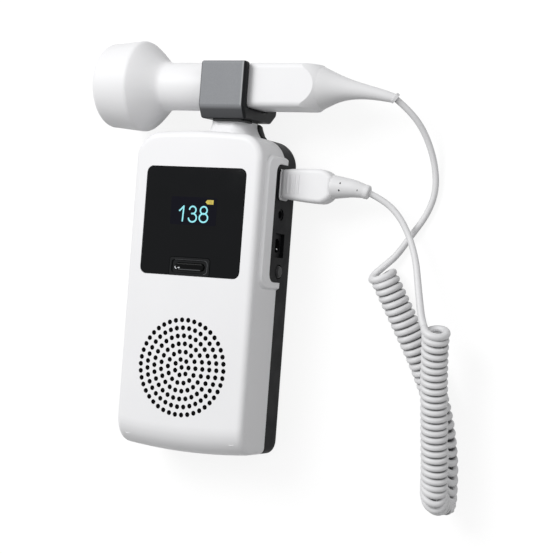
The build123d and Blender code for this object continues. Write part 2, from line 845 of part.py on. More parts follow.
with BuildPart() as dc_jack_pin:
    with BuildSketch(side_plane(dc_front - dc_depth, dc_y, dc_z)):
        Circle(dc_pin_radius)
    extrude(amount=dc_depth - 2.2)
    fillet(dc_jack_pin.faces().sort_by(Axis.X)[-1].edges(), 0.5)
finish(dc_jack_pin, "dc_jack_pin")

switch_face = side_inside - 4.2
with BuildPart() as side_switch:
    with BuildSketch(Plane.XY.offset(port_top)):
        with Locations((switch_face - 3.0, side_button_y)):
            Rectangle(4.8, 6.0)
    extrude(amount=side_button_z + 3.0 - port_top)
    with BuildSketch(side_plane(switch_face - 0.6, side_button_y, side_button_z)):
        Circle(1.5)
    extrude(amount=0.6)
finish(side_switch, "side_switch")

with BuildPart() as side_button:
    with BuildSketch(side_plane(side_inside - slip, side_button_y, side_button_z)):
        Circle(side_button_radius)
    extrude(amount=wall + slip + side_button_proud)
    fillet(side_button.faces().sort_by(Axis.X)[-1].edges(), 1.2)
    with BuildSketch(side_plane(side_inside - slip, side_button_y, side_button_z)):
        Circle(side_button_radius + 1.2)
    extrude(amount=-1.2)
    with BuildSketch(side_plane(side_inside - slip - 1.2, side_button_y, side_button_z)):
        Circle(1.3)
    extrude(amount=-(side_inside - slip - 1.2 - switch_face - side_button_travel - 0.1))
finish(side_button, "side_button")

# ---- probe clip ----
clip_floor = probe_y - grip_half - grip_clearance
clip_inner_front = probe_z + grip_half + grip_clearance
clip_inner_back = probe_z - grip_half - grip_clearance
with BuildPart() as probe_holder:
    with BuildSketch(Plane.YZ.offset(clip_x - clip_width / 2)) as clip_profile:
        with BuildLine():
            Polyline(
                (clip_top, clip_front),
                (neck_top + clip_bevel_y, clip_front),
                (neck_top, clip_front - clip_bevel_z),
                (neck_top, clip_back + back_bevel_z),
                (neck_top + back_bevel_y, clip_back),
                (clip_top, clip_back),
                (clip_top, clip_inner_back),
                (clip_floor, clip_inner_back),
                (clip_floor, clip_inner_front),
                (clip_top, clip_inner_front),
                close=True,
            )
        make_face()
        outer_bends = [v for v in clip_profile.vertices() if v.X < neck_top + clip_bevel_y + 0.1]
        inner_bends = [v for v in clip_profile.vertices() if abs(v.X - clip_floor) < 0.01]
        fillet([v for v in outer_bends if v not in inner_bends], 1.6)
        fillet([v for v in clip_profile.vertices() if abs(v.X - clip_floor) < 0.01], grip_corner)
        fillet([v for v in clip_profile.vertices() if abs(v.X - clip_top) < 0.01], 1.2)
    extrude(amount=clip_width)
    ends = probe_holder.faces().sort_by(Axis.X)
    fillet(ends[0].edges() + ends[-1].edges(), clip_round)
    with Locations((clip_x, (neck_top + flange_high) / 2, neck_z)):
        Box(stem_width, neck_top - flange_high + 0.4, stem_depth)
    with Locations((clip_x, (flange_low + flange_high) / 2, neck_z)):
        Box(flange_width, flange_high - flange_low, flange_depth)
finish(probe_holder, "probe_holder")

# ---- probe ----
with BuildPart() as grip_limit:
    with BuildSketch(probe_section):
        with BuildLine():
            Line((grip_start_x, 0), (grip_start_x, 13.3))
            Line((grip_start_x, 13.3), (43.0, 13.3))
            ThreePointArc((43.0, 13.3), (48.2, 11.3), (tail_x, tail_radius))
            Line((tail_x, tail_radius), (tail_x, 0))
            Line((tail_x, 0), (grip_start_x, 0))
        make_face()
    revolve(axis=probe_axis)

with BuildPart() as probe_grip:
    with BuildSketch(probe_plane(grip_start_x)):
        RectangleRounded(2 * grip_half, 2 * grip_half, grip_corner)
    extrude(amount=tail_x - grip_start_x)
    add(grip_limit.part, mode=Mode.INTERSECT)

with BuildPart() as probe_housing:
    with BuildSketch(probe_section):
        with BuildLine():
            Line((face_x, 0), (face_x, rim_radius - 3.0))
            ThreePointArc(
                (face_x, rim_radius - 3.0),
                (face_x + 0.95, rim_radius - 0.85),
                (face_x + 3.2, rim_radius),
            )
            Line((face_x + 3.2, rim_radius), (rim_x - 1.0, head_radius))
            ThreePointArc(
                (rim_x - 1.0, head_radius),
                (rim_x - 0.2, head_radius - 0.15),
                (rim_x + 0.3, head_radius - 0.7),
            )
            Spline(
                (rim_x + 0.3, head_radius - 0.7),
                (rim_x + 5.0, head_radius - 2.0),
                (rim_x + 9.3, head_radius - 5.2),
                (rim_x + 12.4, head_radius - 8.5),
                (neck_start_x, neck_radius),
                tangents=[(1, -0.12), (1, 0)],
            )
            Line((neck_start_x, neck_radius), (grip_start_x - 0.8, neck_radius))
            ThreePointArc(
                (grip_start_x - 0.8, neck_radius),
                (grip_start_x - 0.23, neck_radius - 0.23),
                (grip_start_x, neck_radius - 0.8),
            )
            Line((grip_start_x, neck_radius - 0.8), (grip_start_x, 0))
            Line((grip_start_x, 0), (face_x, 0))
        make_face()
    revolve(axis=probe_axis)
    add(probe_grip.part)
    # room for the face, the crystals and the damping disc, then a bore for the board and wires
    with BuildSketch(probe_section):
        with BuildLine():
            Polyline(
                (face_x - 1, 0),
                (face_x - 1, face_radius + 0.1),
                (face_x + face_thickness, face_radius + 0.1),
                (face_x + face_thickness, face_radius - 1.2),
                (face_x + 12.0, face_radius - 1.2),
                (face_x + 21.0, bore_radius),
                (tail_x + 1, bore_radius),
                (tail_x + 1, 0),
                close=True,
            )
        make_face()
    revolve(axis=probe_axis, mode=Mode.SUBTRACT)
finish(probe_housing, "probe_housing")

with BuildPart() as probe_face:
    with BuildSketch(probe_section):
        with BuildLine():
            Line((face_x + face_thickness, 0), (face_x + face_thickness, face_radius))
            Line((face_x + face_thickness, face_radius), (face_x + 0.5, face_radius))
            dome((face_x + 0.5, face_radius), face_x - 0.6)
            Line((face_x - 0.6, 0), (face_x + face_thickness, 0))
        make_face()
    revolve(axis=probe_axis)
finish(probe_face, "probe_face")

crystal_x = face_x + face_thickness
with BuildPart() as probe_crystals:
    with BuildSketch(probe_plane(crystal_x)):
        Circle(crystal_radius)
        Rectangle(crystal_gap, 3 * crystal_radius, mode=Mode.SUBTRACT)
    extrude(amount=crystal_thickness)
finish(probe_crystals, "probe_crystals")

with BuildPart() as probe_backing:
    with BuildSketch(probe_plane(crystal_x + crystal_thickness)):
        Circle(face_radius - 1.4)
    extrude(amount=backing_thickness)
finish(probe_backing, "probe_backing")

with BuildPart() as probe_circuit_board:
    with Locations((10.0, probe_y, probe_z)):
        Box(60.0, 2 * bore_radius - 0.6, board_thickness)
finish(probe_circuit_board, "probe_circuit_board")

# The tail droops towards the table: each section is x, y, z, radius and its heading.
probe_cord_heading = tuple(Vector(probe_cord_points[1]) - Vector(probe_cord_points[0]))
plug_cord_heading = tuple(Vector(plug_cord_points[1]) - Vector(plug_cord_points[0]))
tail_sections = [
    (tail_x, probe_y, probe_z, tail_radius, (1, 0, 0)),
    (55.0, probe_y - 0.05, probe_z, 7.7, (1, -0.01, 0)),
    (60.0, probe_y - 0.2, probe_z - 0.1, 5.7, (1, -0.03, -0.03)),
    (66.0, probe_y - 0.7, probe_z - 0.4, 4.1, (1, -0.08, -0.08)),
    (72.5, probe_y - 1.5, probe_z - 1.1, 3.1, (1, -0.16, -0.16)),
    (79.0, probe_y - 2.6, probe_z - 2.1, 2.5, (1, -0.28, -0.25)),
    (84.5, 89.0, 17.4, 2.1, probe_cord_heading),
]
with BuildPart() as probe_strain_relief:
    for x, y, z, radius, heading in tail_sections:
        with BuildSketch(Plane(origin=(x, y, z), x_dir=(0, 1, 0), z_dir=heading)):
            Circle(radius)
    loft()
    tip = Plane(origin=tail_sections[-1][:3], x_dir=(0, 1, 0), z_dir=probe_cord_heading)
    with BuildSketch(tip):
        Circle(tail_sections[-1][3] + relief_lip)
    extrude(amount=-relief_lip_length)
    with BuildSketch(probe_plane(tail_x)):
        Circle(bore_radius - 0.15)
    extrude(amount=-4.5)
finish(probe_strain_relief, "probe_strain_relief")

# ---- plug ----
plug_plane = Plane(origin=(plug_face_x, usb_y, plug_z), x_dir=(1, 0, 0), z_dir=(0, 0, 1))
plug_half_height = 4.5
plug_length = 24.6
plug_edge_round = 2.0
rib_width = 0.5
rib_height = 0.25
rib_places = (3.6, 5.4, 7.2, 9.0)
with BuildPart() as plug_housing:
    with BuildSketch(plug_plane.offset(-plug_half_height)) as plug_outline:
        with BuildLine():
            Line((0, -6.3), (0, 6.3))
            ThreePointArc((0, 6.3), (9.0, 7.0), (17.5, 7.1))
            ThreePointArc((17.5, 7.1), (22.2, 5.9), (plug_length, 3.7))
            Line((plug_length, 3.7), (plug_length, -4.3))
            ThreePointArc((plug_length, -4.3), (22.2, -6.9), (17.5, -8.0))
            ThreePointArc((17.5, -8.0), (9.0, -7.4), (0, -6.3))
        make_face()
        fillet(plug_outline.vertices().sort_by(Axis.X)[:2], 1.2)
    extrude(amount=2 * plug_half_height)
    flats = plug_housing.faces().filter_by(Axis.Z)
    fillet(flats[0].edges() + flats[-1].edges(), plug_edge_round)
    # finger ribs on both flats
    with Locations(*[(plug_face_x + x, usb_y, plug_z) for x in rib_places]):
        Box(rib_width, 8.4, 2 * (plug_half_height + rib_height))
finish(plug_housing, "plug_housing")

with BuildPart() as plug_shell:
    with BuildSketch(side_plane(plug_face_x, usb_y, usb_z)):
        Rectangle(usb_shell_width, usb_shell_height)
        Rectangle(usb_shell_width - 0.6, usb_shell_height - 0.6, mode=Mode.SUBTRACT)
    extrude(amount=-usb_shell_length)
finish(plug_shell, "plug_shell")

with BuildPart() as plug_insulator:
    with BuildSketch(side_plane(plug_face_x, usb_y, usb_z - 0.95)):
        Rectangle(usb_shell_width - 0.8, 1.9)
    extrude(amount=-usb_shell_length + 0.4)
finish(plug_insulator, "plug_insulator")

relief_sections = [
    (plug_face_x + plug_length, usb_y - 0.4, plug_z, 3.8, (1, 0, 0)),
    (plug_face_x + 30.0, usb_y - 0.65, plug_z - 0.05, 3.2, (1, -0.08, -0.03)),
    (plug_face_x + 35.5, usb_y - 1.25, plug_z - 0.3, 2.7, (1, -0.15, -0.08)),
    (*plug_cord_points[0], 2.2, plug_cord_heading),
]
# small moulding dimples: how far from the plug's face, and how far round from the front
dimples = ((27.0, 27), (27.4, -27), (35.6, 8))
with BuildPart() as plug_strain_relief:
    for x, y, z, radius, heading in relief_sections:
        with BuildSketch(Plane(origin=(x, y, z), x_dir=(0, 1, 0), z_dir=heading)):
            Circle(radius)
    loft()
    with BuildSketch(Plane(origin=plug_relief_end, x_dir=(0, 1, 0), z_dir=plug_cord_heading)):
        Circle(relief_sections[-1][3] + relief_lip)
    extrude(amount=-relief_lip_length)
    for along, turn in dimples:
        aim = (0, math.sin(math.radians(turn)), math.cos(math.radians(turn)))
        middle = Vector(plug_face_x + along, usb_y - 0.5 - 0.08 * (along - 26), plug_z)
        with BuildSketch(Plane(origin=middle + 5 * Vector(*aim), x_dir=(1, 0, 0), z_dir=aim)):
            Circle(0.35)
        extrude(amount=-2.7, mode=Mode.SUBTRACT)
finish(plug_strain_relief, "plug_strain_relief")


# ---- cord ----
def cord_path(points, special):
    """Corner radii and length facts for a route of straight runs joined by tangent arcs."""
    radii = []
    for index in range(1, len(points) - 1):
        before = Vector(points[index]) - Vector(points[index - 1])
        after = Vector(points[index + 1]) - Vector(points[index])
        half_turn = math.radians(before.get_angle(after)) / 2
        shorter = min(before.length, after.length)
        radii.append(special.get(index, 0.45 * shorter / math.tan(half_turn)))
    return radii


def cord_tube(points, radius, label, special):
    """A plain round tube along the route, written as one node."""
    radii = cord_path(points, special)
    with BuildPart() as tube:
        with BuildLine() as route:
            FilletPolyline(*points, radius=radii)
        wire = route.wires()[0]
        with BuildSketch(Plane(origin=wire @ 0, z_dir=wire % 0)):
            Circle(radius)
        sweep(path=wire)
    length = wire.length
    ideal = math.pi * radius * radius * length
    print(label, "length", round(length, 1), "volume / section x length",
          round(tube.part.volume / ideal, 4))
    print("   radii", [round(value, 1) for value in radii])
    finish(tube, label)


cord_tube(probe_cord_points, cord_radius, "probe_cord", {})
cord_tube(coil_points, coil_radius, "coil_cord", {n: hairpin_radius for n in hairpin_corners})
cord_tube(plug_cord_points, cord_radius, "plug_cord", {})
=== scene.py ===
# %% [markdown]
# # A pocket fetal doppler monitor
#
# This lesson dresses a finished model. The shapes of the hard parts come from CAD and are
# loaded as they are; here they get their plastics, metals and paints, and the curly cord is
# made turn by turn. Everything is in metres, and 1 mm is 0.001.

# %% Load the model
import bmesh
import bpy
import json
import math
import numpy as np
from mathutils import Matrix, Vector


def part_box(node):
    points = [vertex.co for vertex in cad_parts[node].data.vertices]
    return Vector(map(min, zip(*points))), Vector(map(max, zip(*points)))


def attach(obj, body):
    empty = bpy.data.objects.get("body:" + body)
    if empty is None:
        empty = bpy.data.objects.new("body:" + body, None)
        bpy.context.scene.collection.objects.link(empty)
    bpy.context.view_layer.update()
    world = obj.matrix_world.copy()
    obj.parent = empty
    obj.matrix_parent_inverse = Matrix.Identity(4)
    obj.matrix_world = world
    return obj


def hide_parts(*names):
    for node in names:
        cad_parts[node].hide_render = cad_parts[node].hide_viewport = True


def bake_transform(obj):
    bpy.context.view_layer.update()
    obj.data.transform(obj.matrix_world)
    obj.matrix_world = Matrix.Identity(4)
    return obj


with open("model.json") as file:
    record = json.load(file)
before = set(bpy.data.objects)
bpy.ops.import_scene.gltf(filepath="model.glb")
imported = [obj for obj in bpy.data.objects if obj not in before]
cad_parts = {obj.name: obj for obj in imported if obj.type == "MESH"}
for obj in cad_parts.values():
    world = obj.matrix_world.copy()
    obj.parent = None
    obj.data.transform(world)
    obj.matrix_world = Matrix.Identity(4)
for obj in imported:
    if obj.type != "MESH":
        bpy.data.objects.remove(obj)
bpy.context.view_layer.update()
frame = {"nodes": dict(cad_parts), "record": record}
nodes = frame["nodes"]
mm = 0.001

# %% [markdown]
# ## The camera
#
# The unit lies on its back and the camera looks down at it from the socket side. Three
# directions place a camera fully: where its right side points, where its top points, and
# what is behind it. Writing them down as a matrix is plainer than three angles here, because
# the camera is also rolled so that the unit stands upright in the picture.

# %% Camera
camera_place = Vector((348.43, -0.15, 650.58)) * mm
picture_right = Vector((0.8936, 0.0750, -0.4426)).normalized()
picture_up = Vector((-0.0612, 0.9971, 0.0454)).normalized()
behind = picture_right.cross(picture_up).normalized()
picture_up = behind.cross(picture_right)

camera = bpy.data.objects.new("camera", bpy.data.cameras.new("camera"))
bpy.context.scene.collection.objects.link(camera)
turn = Matrix((picture_right, picture_up, behind)).transposed()
camera.matrix_world = Matrix.Translation(camera_place) @ turn.to_4x4()
camera.data.sensor_width = 36.0
camera.data.lens = 103.9
camera.data.clip_start = 0.01
camera.data.clip_end = 20.0
bpy.context.scene.camera = camera
bpy.context.scene.view_settings.view_transform = "Standard"
print("camera looks along", [round(-v, 3) for v in behind])

# %% [markdown]
# ## Node helpers
#
# A material is a small network of nodes. These helpers keep each recipe short: one makes a
# node and fills in its inputs by name, and one starts a material with its Principled shader
# and Object coordinates, which measure in metres on the part itself. The others each add one
# ingredient, such as noise, a bump or a mix of two colours.

# %% Helpers for materials
def add_node(tree, kind, **inputs):
    node = tree.nodes.new(kind)
    for name, value in inputs.items():
        node.inputs[name.replace("_", " ")].default_value = value
    return node


def start_material(name, colour, roughness, **inputs):
    material = bpy.data.materials.new(name)
    material.use_nodes = True
    tree = material.node_tree
    shader = tree.nodes["Principled BSDF"]
    shader.inputs["Base Color"].default_value = (*colour, 1)
    shader.inputs["Roughness"].default_value = roughness
    for socket, value in inputs.items():
        shader.inputs[socket.replace("_", " ")].default_value = value
    place = tree.nodes.new("ShaderNodeTexCoord").outputs["Object"]
    return material, tree, shader, place


def noise(tree, place, size, detail=2.0):
    """Noise whose lumps are about this many millimetres across."""
    texture = add_node(tree, "ShaderNodeTexNoise", Scale=1.0 / (size * mm), Detail=detail)
    tree.links.new(place, texture.inputs["Vector"])
    return texture.outputs["Fac"]


def spread(tree, source, low, high, start=0.35, stop=0.65):
    """The stretch from start to stop of a source made to run from low to high."""
    remap = add_node(tree, "ShaderNodeMapRange",
                     From_Min=start, From_Max=stop, To_Min=low, To_Max=high)
    tree.links.new(source, remap.inputs["Value"])
    return remap.outputs["Result"]


def along_axis(tree, place, axis):
    """One of the three coordinates of a place."""
    apart = tree.nodes.new("ShaderNodeSeparateXYZ")
    tree.links.new(place, apart.inputs["Vector"])
    return apart.outputs[axis]


def bump(tree, shader, height, depth, strength=0.5):
    """Pushes the shading up and down by depth millimetres."""
    node = add_node(tree, "ShaderNodeBump", Strength=strength, Distance=depth * mm)
    tree.links.new(height, node.inputs["Height"])
    tree.links.new(node.outputs["Normal"], shader.inputs["Normal"])


def blend_colour(tree, factor, first, second):
    """Mixes from a first colour, or a socket that gives one, towards a second colour."""
    mix = tree.nodes.new("ShaderNodeMix")
    mix.data_type = "RGBA"
    if isinstance(first, tuple):
        mix.inputs["A"].default_value = (*first, 1)
    else:
        tree.links.new(first, mix.inputs["A"])
    mix.inputs["B"].default_value = (*second, 1)
    tree.links.new(factor, mix.inputs["Factor"])
    return mix.outputs["Result"]


def colour_ramp(tree, factor, stops, interpolation="LINEAR"):
    """A colour for every factor from 0 to 1, given at a few stops."""
    ramp = tree.nodes.new("ShaderNodeValToRGB")
    ramp.color_ramp.interpolation = interpolation
    while len(ramp.color_ramp.elements) < len(stops):
        ramp.color_ramp.elements.new(0.5)
    for stop, (position, colour) in zip(ramp.color_ramp.elements, stops):
        stop.position = position
        stop.color = (*colour, 1)
    tree.links.new(factor, ramp.inputs["Fac"])
    return ramp.outputs["Color"]


def combine(tree, operation, first, second):
    """A sum of two sockets, or of a socket and a number."""
    node = tree.nodes.new("ShaderNodeMath")
    node.operation = operation
    tree.links.new(first, node.inputs[0])
    if isinstance(second, float):
        node.inputs[1].default_value = second
    else:
        tree.links.new(second, node.inputs[1])
    return node.outputs[0]


def scaled(colour, factor):
    return tuple(channel * factor for channel in colour)


print("helpers ready")

# %% [markdown]
# ## Moulded plastic
#
# Nearly everything outside is moulded plastic. Real mouldings are never quite even: tone and
# gloss drift over centimetres as the part cools, and the mould's own skin leaves a fine grain.
# Three noises do that: the widest for tone, one for gloss and the finest for the bump.

# %% Plastic recipe
tone_patch, gloss_patch = 22.0, 9.0


def moulded_plastic(name, colour, gloss, grain, depth, drift=0.02, shine=0.5):
    """Plastic of a colour, between two limits of roughness, with a grain in millimetres."""
    material, tree, shader, place = start_material(name, colour, sum(gloss) / 2,
                                                   Specular_IOR_Level=shine)
    wide = spread(tree, noise(tree, place, tone_patch, detail=3.0), 0.0, 1.0)
    tree.links.new(blend_colour(tree, wide, scaled(colour, 1 - drift), scaled(colour, 1 + drift)),
                   shader.inputs["Base Color"])
    tree.links.new(spread(tree, noise(tree, place, gloss_patch), *gloss), shader.inputs["Roughness"])
    bump(tree, shader, noise(tree, place, grain, detail=4.0), depth, 0.35)
    return material

# %% Pale plastics
white_shell = moulded_plastic("white_shell_finish", (0.86, 0.86, 0.873), (0.37, 0.41),
                              grain=0.9, depth=0.003, drift=0.006, shine=0.32)
probe_white = moulded_plastic("probe_white_finish", (0.86, 0.86, 0.872), (0.42, 0.47),
                              grain=0.9, depth=0.003, drift=0.006, shine=0.25)
probe_window = moulded_plastic("probe_window_finish", (0.62, 0.64, 0.66), (0.3, 0.42),
                               grain=0.6, depth=0.006)
cord_white = moulded_plastic("cord_white_finish", (0.78, 0.78, 0.79), (0.4, 0.5),
                             grain=0.35, depth=0.012, drift=0.012, shine=0.35)
print("pale plastics ready")

# %% Dark plastics
dark_shell = moulded_plastic("dark_shell_finish", (0.0078, 0.0082, 0.0093), (0.42, 0.54),
                             grain=0.25, depth=0.02, drift=0.06, shine=0.06)
lens_black = moulded_plastic("lens_black_finish", (0.0032, 0.0037, 0.0046), (0.05, 0.09),
                             grain=3.0, depth=0.001, drift=0.05, shine=0.11)
button_black = moulded_plastic("button_black_finish", (0.0026, 0.0027, 0.003), (0.1, 0.16),
                               grain=0.8, depth=0.003, drift=0.05, shine=0.07)
button_dark = moulded_plastic("button_dark_finish", (0.014, 0.0145, 0.016), (0.34, 0.44),
                              grain=0.25, depth=0.012, drift=0.05, shine=0.15)
inner_plastic = moulded_plastic("inner_plastic_finish", (0.006, 0.006, 0.0068), (0.42, 0.56),
                                grain=0.3, depth=0.015, drift=0.06, shine=0.1)
print("dark plastics ready")

# %% [markdown]
# ## The clip's painted front
#
# The clip that holds the probe is dark plastic with a lighter grey sprayed on from the front. Spray
# lands fully on the flat front and not at all on the sides. The sloping face below the front is painted
# a mid grey, which is painted shade, and lower down the dark plastic is painted darker still, down to a
# third of its colour, which is painted shade too. A colour ramp over the height does all this: Object
# coordinates measure in metres, so its stops are heights. The paint fades over the last millimetre
# beside either side, and a thin bright line painted along the right edge is a painted highlight.

# %% Clip finish
clip_dark = (0.0095, 0.01, 0.0112)
slope_shade_grey = (0.086, 0.088, 0.093)
clip_light = (0.272, 0.28, 0.295)
edge_highlight_grey = (0.46, 0.47, 0.48)
ramp_low, ramp_high = 10.0, 36.0
# Painted shade: the sloping face's mid grey, and the dark plastic made darker below it, down to a third
# at 22 mm.
clip_stops = ((22.0, scaled(clip_dark, 0.3)), (29.5, clip_dark), (31.2, clip_dark),
              (32.1, scaled(slope_shade_grey, 0.8)), (34.1, slope_shade_grey), (34.9, clip_light))
left_fade = (-2.5 * mm, -1.6 * mm)
right_fade = (18.7 * mm, 19.1 * mm)
highlight_across = (18.1 * mm, 18.5 * mm)
highlight_height = (34.8 * mm, 35.1 * mm)

clip_grey, tree, shader, place = start_material("clip_grey_finish", clip_light, 0.4,
                                                Specular_IOR_Level=0.1)
across, height = along_axis(tree, place, "X"), along_axis(tree, place, "Z")
sprayed = colour_ramp(tree, spread(tree, height, 0.0, 1.0, ramp_low * mm, ramp_high * mm),
                      [((at - ramp_low) / (ramp_high - ramp_low), colour) for at, colour in clip_stops])
speckle = spread(tree, noise(tree, place, 0.5), 0.06, 0.0)
# A painted highlight: a thin bright line along the right edge of the front.
painted_highlight = combine(tree, "MULTIPLY", spread(tree, across, 0.0, 1.0, *highlight_across),
                   spread(tree, height, 0.0, 0.8, *highlight_height))
painted = blend_colour(tree, speckle, sprayed, clip_dark)
painted = blend_colour(tree, painted_highlight, painted, edge_highlight_grey)
painted = blend_colour(tree, spread(tree, across, 1.0, 0.0, *left_fade), painted, clip_dark)
painted = blend_colour(tree, spread(tree, across, 0.0, 1.0, *right_fade), painted, clip_dark)
tree.links.new(painted, shader.inputs["Base Color"])
tree.links.new(spread(tree, noise(tree, place, gloss_patch), 0.34, 0.46), shader.inputs["Roughness"])
bump(tree, shader, noise(tree, place, 0.22, detail=4.0), 0.02, 0.35)
print("clip paint has", len(clip_stops), "stops")

# %% [markdown]
# ## Metals, paper and crystal
#
# Springs and contacts are steel, the pin in the power socket is brass and the speaker's magnet
# is dull iron. Brushed metal is mostly a matter of roughness that changes within a few
# millimetres, so its recipe is the plastic's with other noises and Metallic set to 1. The
# display's panel, the speaker's paper and cloth and the probe's crystals follow the plastic's.

# %% Metals
tarnish_patch, brushed_patch = 4.0, 1.5


def metal(name, colour, gloss, grain=0.15, depth=0.004):
    """Metal of a colour, between two limits of roughness, with a grain in millimetres."""
    material, tree, shader, place = start_material(name, colour, sum(gloss) / 2, Metallic=1.0)
    tarnish = spread(tree, noise(tree, place, tarnish_patch), 0.0, 1.0)
    tree.links.new(blend_colour(tree, tarnish, scaled(colour, 0.93), scaled(colour, 1.04)),
                   shader.inputs["Base Color"])
    tree.links.new(spread(tree, noise(tree, place, brushed_patch), *gloss), shader.inputs["Roughness"])
    bump(tree, shader, noise(tree, place, grain, detail=4.0), depth, 0.3)
    return material


steel = metal("steel_finish", (0.56, 0.56, 0.57), (0.3, 0.42))
bright_steel = metal("bright_steel_finish", (0.7, 0.7, 0.71), (0.12, 0.22))
brass_pin = metal("brass_pin_finish", (0.8, 0.66, 0.38), (0.15, 0.24))
magnet_iron = metal("magnet_iron_finish", (0.3, 0.3, 0.31), (0.38, 0.5), grain=0.3, depth=0.01)
print("metals ready")

# %% Panel, paper, cloth and crystal
display_panel = moulded_plastic("display_panel_finish", (0.01, 0.013, 0.022), (0.08, 0.14),
                                grain=1.0, depth=0.001, drift=0.05)
cone_paper = moulded_plastic("cone_paper_finish", (0.035, 0.035, 0.038), (0.65, 0.8),
                             grain=0.5, depth=0.05, drift=0.1)
mesh_grey = moulded_plastic("mesh_grey_finish", (0.16, 0.16, 0.17), (0.6, 0.7),
                            grain=0.3, depth=0.05, drift=0.1)
crystal = moulded_plastic("crystal_finish", (0.75, 0.7, 0.55), (0.5, 0.6),
                          grain=0.4, depth=0.01, drift=0.03)
print("inner finishes ready")

# %% [markdown]
# ## Cells and circuit boards
#
# Under the battery door lie two round cells in printed film, with a pale band near one end
# and bare metal at both. The bands are stops of a colour ramp along the cells. The boards are
# green lacquer over copper: a brick pattern's joints make a net of tracks that shine through
# a little lighter, and the cells of a Voronoi pattern make tinned pads.

# %% Cell finish
film_dark = (0.03, 0.045, 0.08)
film_pale = (0.5, 0.52, 0.54)
bare_metal = (0.45, 0.45, 0.46)
cell_low, cell_high = -65.6 * mm, -7.9 * mm
cell_stops = ((0.0, bare_metal), (0.04, film_dark), (0.7, film_pale), (0.83, film_dark),
              (0.95, bare_metal))
cell_jacket, tree, shader, place = start_material("cell_jacket_finish", film_dark, 0.25)
bands = colour_ramp(tree, spread(tree, along_axis(tree, place, "Y"), 0.0, 1.0, cell_low, cell_high),
                    cell_stops, "CONSTANT")
tree.links.new(bands, shader.inputs["Base Color"])
tree.links.new(spread(tree, noise(tree, place, 6.0), 0.18, 0.32), shader.inputs["Roughness"])
bump(tree, shader, noise(tree, place, 0.5, detail=3.0), 0.004, 0.3)
print("cell film has", len(cell_stops), "bands")

# %% Board finish
lacquer = ((0.014, 0.1, 0.042, 1), (0.018, 0.12, 0.05, 1))
track_green = (0.045, 0.22, 0.09, 1)
tin = (0.62, 0.6, 0.55)
board_green, tree, shader, place = start_material("board_green_finish", (0.02, 0.13, 0.055), 0.3)
tracks = add_node(tree, "ShaderNodeTexBrick", Scale=1.0 / mm, Mortar_Size=0.12, Brick_Width=2.6,
                  Row_Height=1.1, Color1=lacquer[0], Color2=lacquer[1], Mortar=track_green)
tree.links.new(place, tracks.inputs["Vector"])
pads = add_node(tree, "ShaderNodeTexVoronoi", Scale=1.0 / (2.4 * mm))
tree.links.new(place, pads.inputs["Vector"])
is_pad = spread(tree, pads.outputs["Distance"], 1.0, 0.0, 0.2, 0.26)
tree.links.new(blend_colour(tree, is_pad, tracks.outputs["Color"], tin), shader.inputs["Base Color"])
tree.links.new(spread(tree, is_pad, 0.3, 0.18, 0.0, 1.0), shader.inputs["Roughness"])
bump(tree, shader, tracks.outputs["Fac"], 0.02, 0.4)
print("board lacquer ready")

# %% All finishes
finish_of = {m.name.removesuffix("_finish"): m for m in (
    white_shell, dark_shell, lens_black, button_black, button_dark, clip_grey, probe_white,
    probe_window, cord_white, inner_plastic, steel, bright_steel, brass_pin, magnet_iron,
    cell_jacket, board_green, display_panel, cone_paper, mesh_grey, crystal)}
print("all finishes", len(finish_of))

# %% [markdown]
# ## Painting the CAD parts
#
# The record says which finish each part takes. A part's mesh may carry several material slots, so each
# slot of each part gets the finish that its record entry names. The little frame round the power button
# gets its own black instead, a shade lighter than the lens and a little less glossy.

# %% Paint
frame_black = moulded_plastic("frame_black_finish", (0.0105, 0.011, 0.012), (0.1, 0.16),
                              grain=0.8, depth=0.003, drift=0.05, shine=0.12)
slot_of = {part["node"]: part["material_slot"] for part in frame["record"]["subparts"]}
for name, part in nodes.items():
    finish = frame_black if name == "power_button_frame" else finish_of[slot_of[name]]
    if not part.material_slots:
        part.data.materials.append(finish)
    for slot in part.material_slots:
        slot.material = finish
print("painted", len(nodes), "parts")

# %% [markdown]
# ## Making a piece
#
# A mesh only shows once an object carries it and the object is in the scene, and one helper
# does both. A piece also has to move with the part of the model that it sits on, so the helper
# can set it riding on a body. The object stays at the origin: a piece's place is in its mesh.

# %% Helper for pieces
def make_piece(name, mesh, body=None):
    """An object that shows a mesh, and rides on a body if one is named."""
    piece = bpy.data.objects.new(name, mesh)
    bpy.context.scene.collection.objects.link(piece)
    if body:
        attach(piece, body)
    return piece


print("ready to make pieces")

# %% [markdown]
# ## The lit display
#
# The small display shines through the black lens: a dim bluish panel, a three digit reading
# and a battery sign. The strokes of the digits are short chains of points, made of straight
# bits and arcs in millimetres, and each is turned into a flat ribbon with round ends, which
# gets a thickness of a few hundredths of a millimetre. They lie so close on the lens that they
# seem to shine out of it.

# %% Helpers for strokes and plates
plate_thickness = 0.03 * mm


def arc(centre, radius, start, stop, squash=1.0, steps=16):
    """Points round part of a circle, in degrees, counted against the clock."""
    turn = np.radians(np.linspace(start, stop, steps))
    return [(centre[0] + radius * math.cos(t), centre[1] + squash * radius * math.sin(t)) for t in turn]


def ribbon(points, width):
    """The outline of a stroke with round ends, and the faces that fill it."""
    line = np.array(points, float)
    ahead = np.gradient(line, axis=0)
    ahead /= np.linalg.norm(ahead, axis=1)[:, None]
    square = np.stack([-ahead[:, 1], ahead[:, 0]], axis=1) * width / 2
    left, right = line + square, line - square
    corners = [tuple(p) for pair in zip(left, right) for p in pair]
    faces = [(2 * k, 2 * k + 1, 2 * k + 3, 2 * k + 2) for k in range(len(line) - 1)]
    for tip, direction in ((line[0], -ahead[0]), (line[-1], ahead[-1])):
        heading = math.degrees(math.atan2(direction[1], direction[0]))
        faces.append(tuple(range(len(corners), len(corners) + 9)))
        corners += arc(tip, width / 2, heading - 90, heading + 90, steps=9)
    return corners, faces


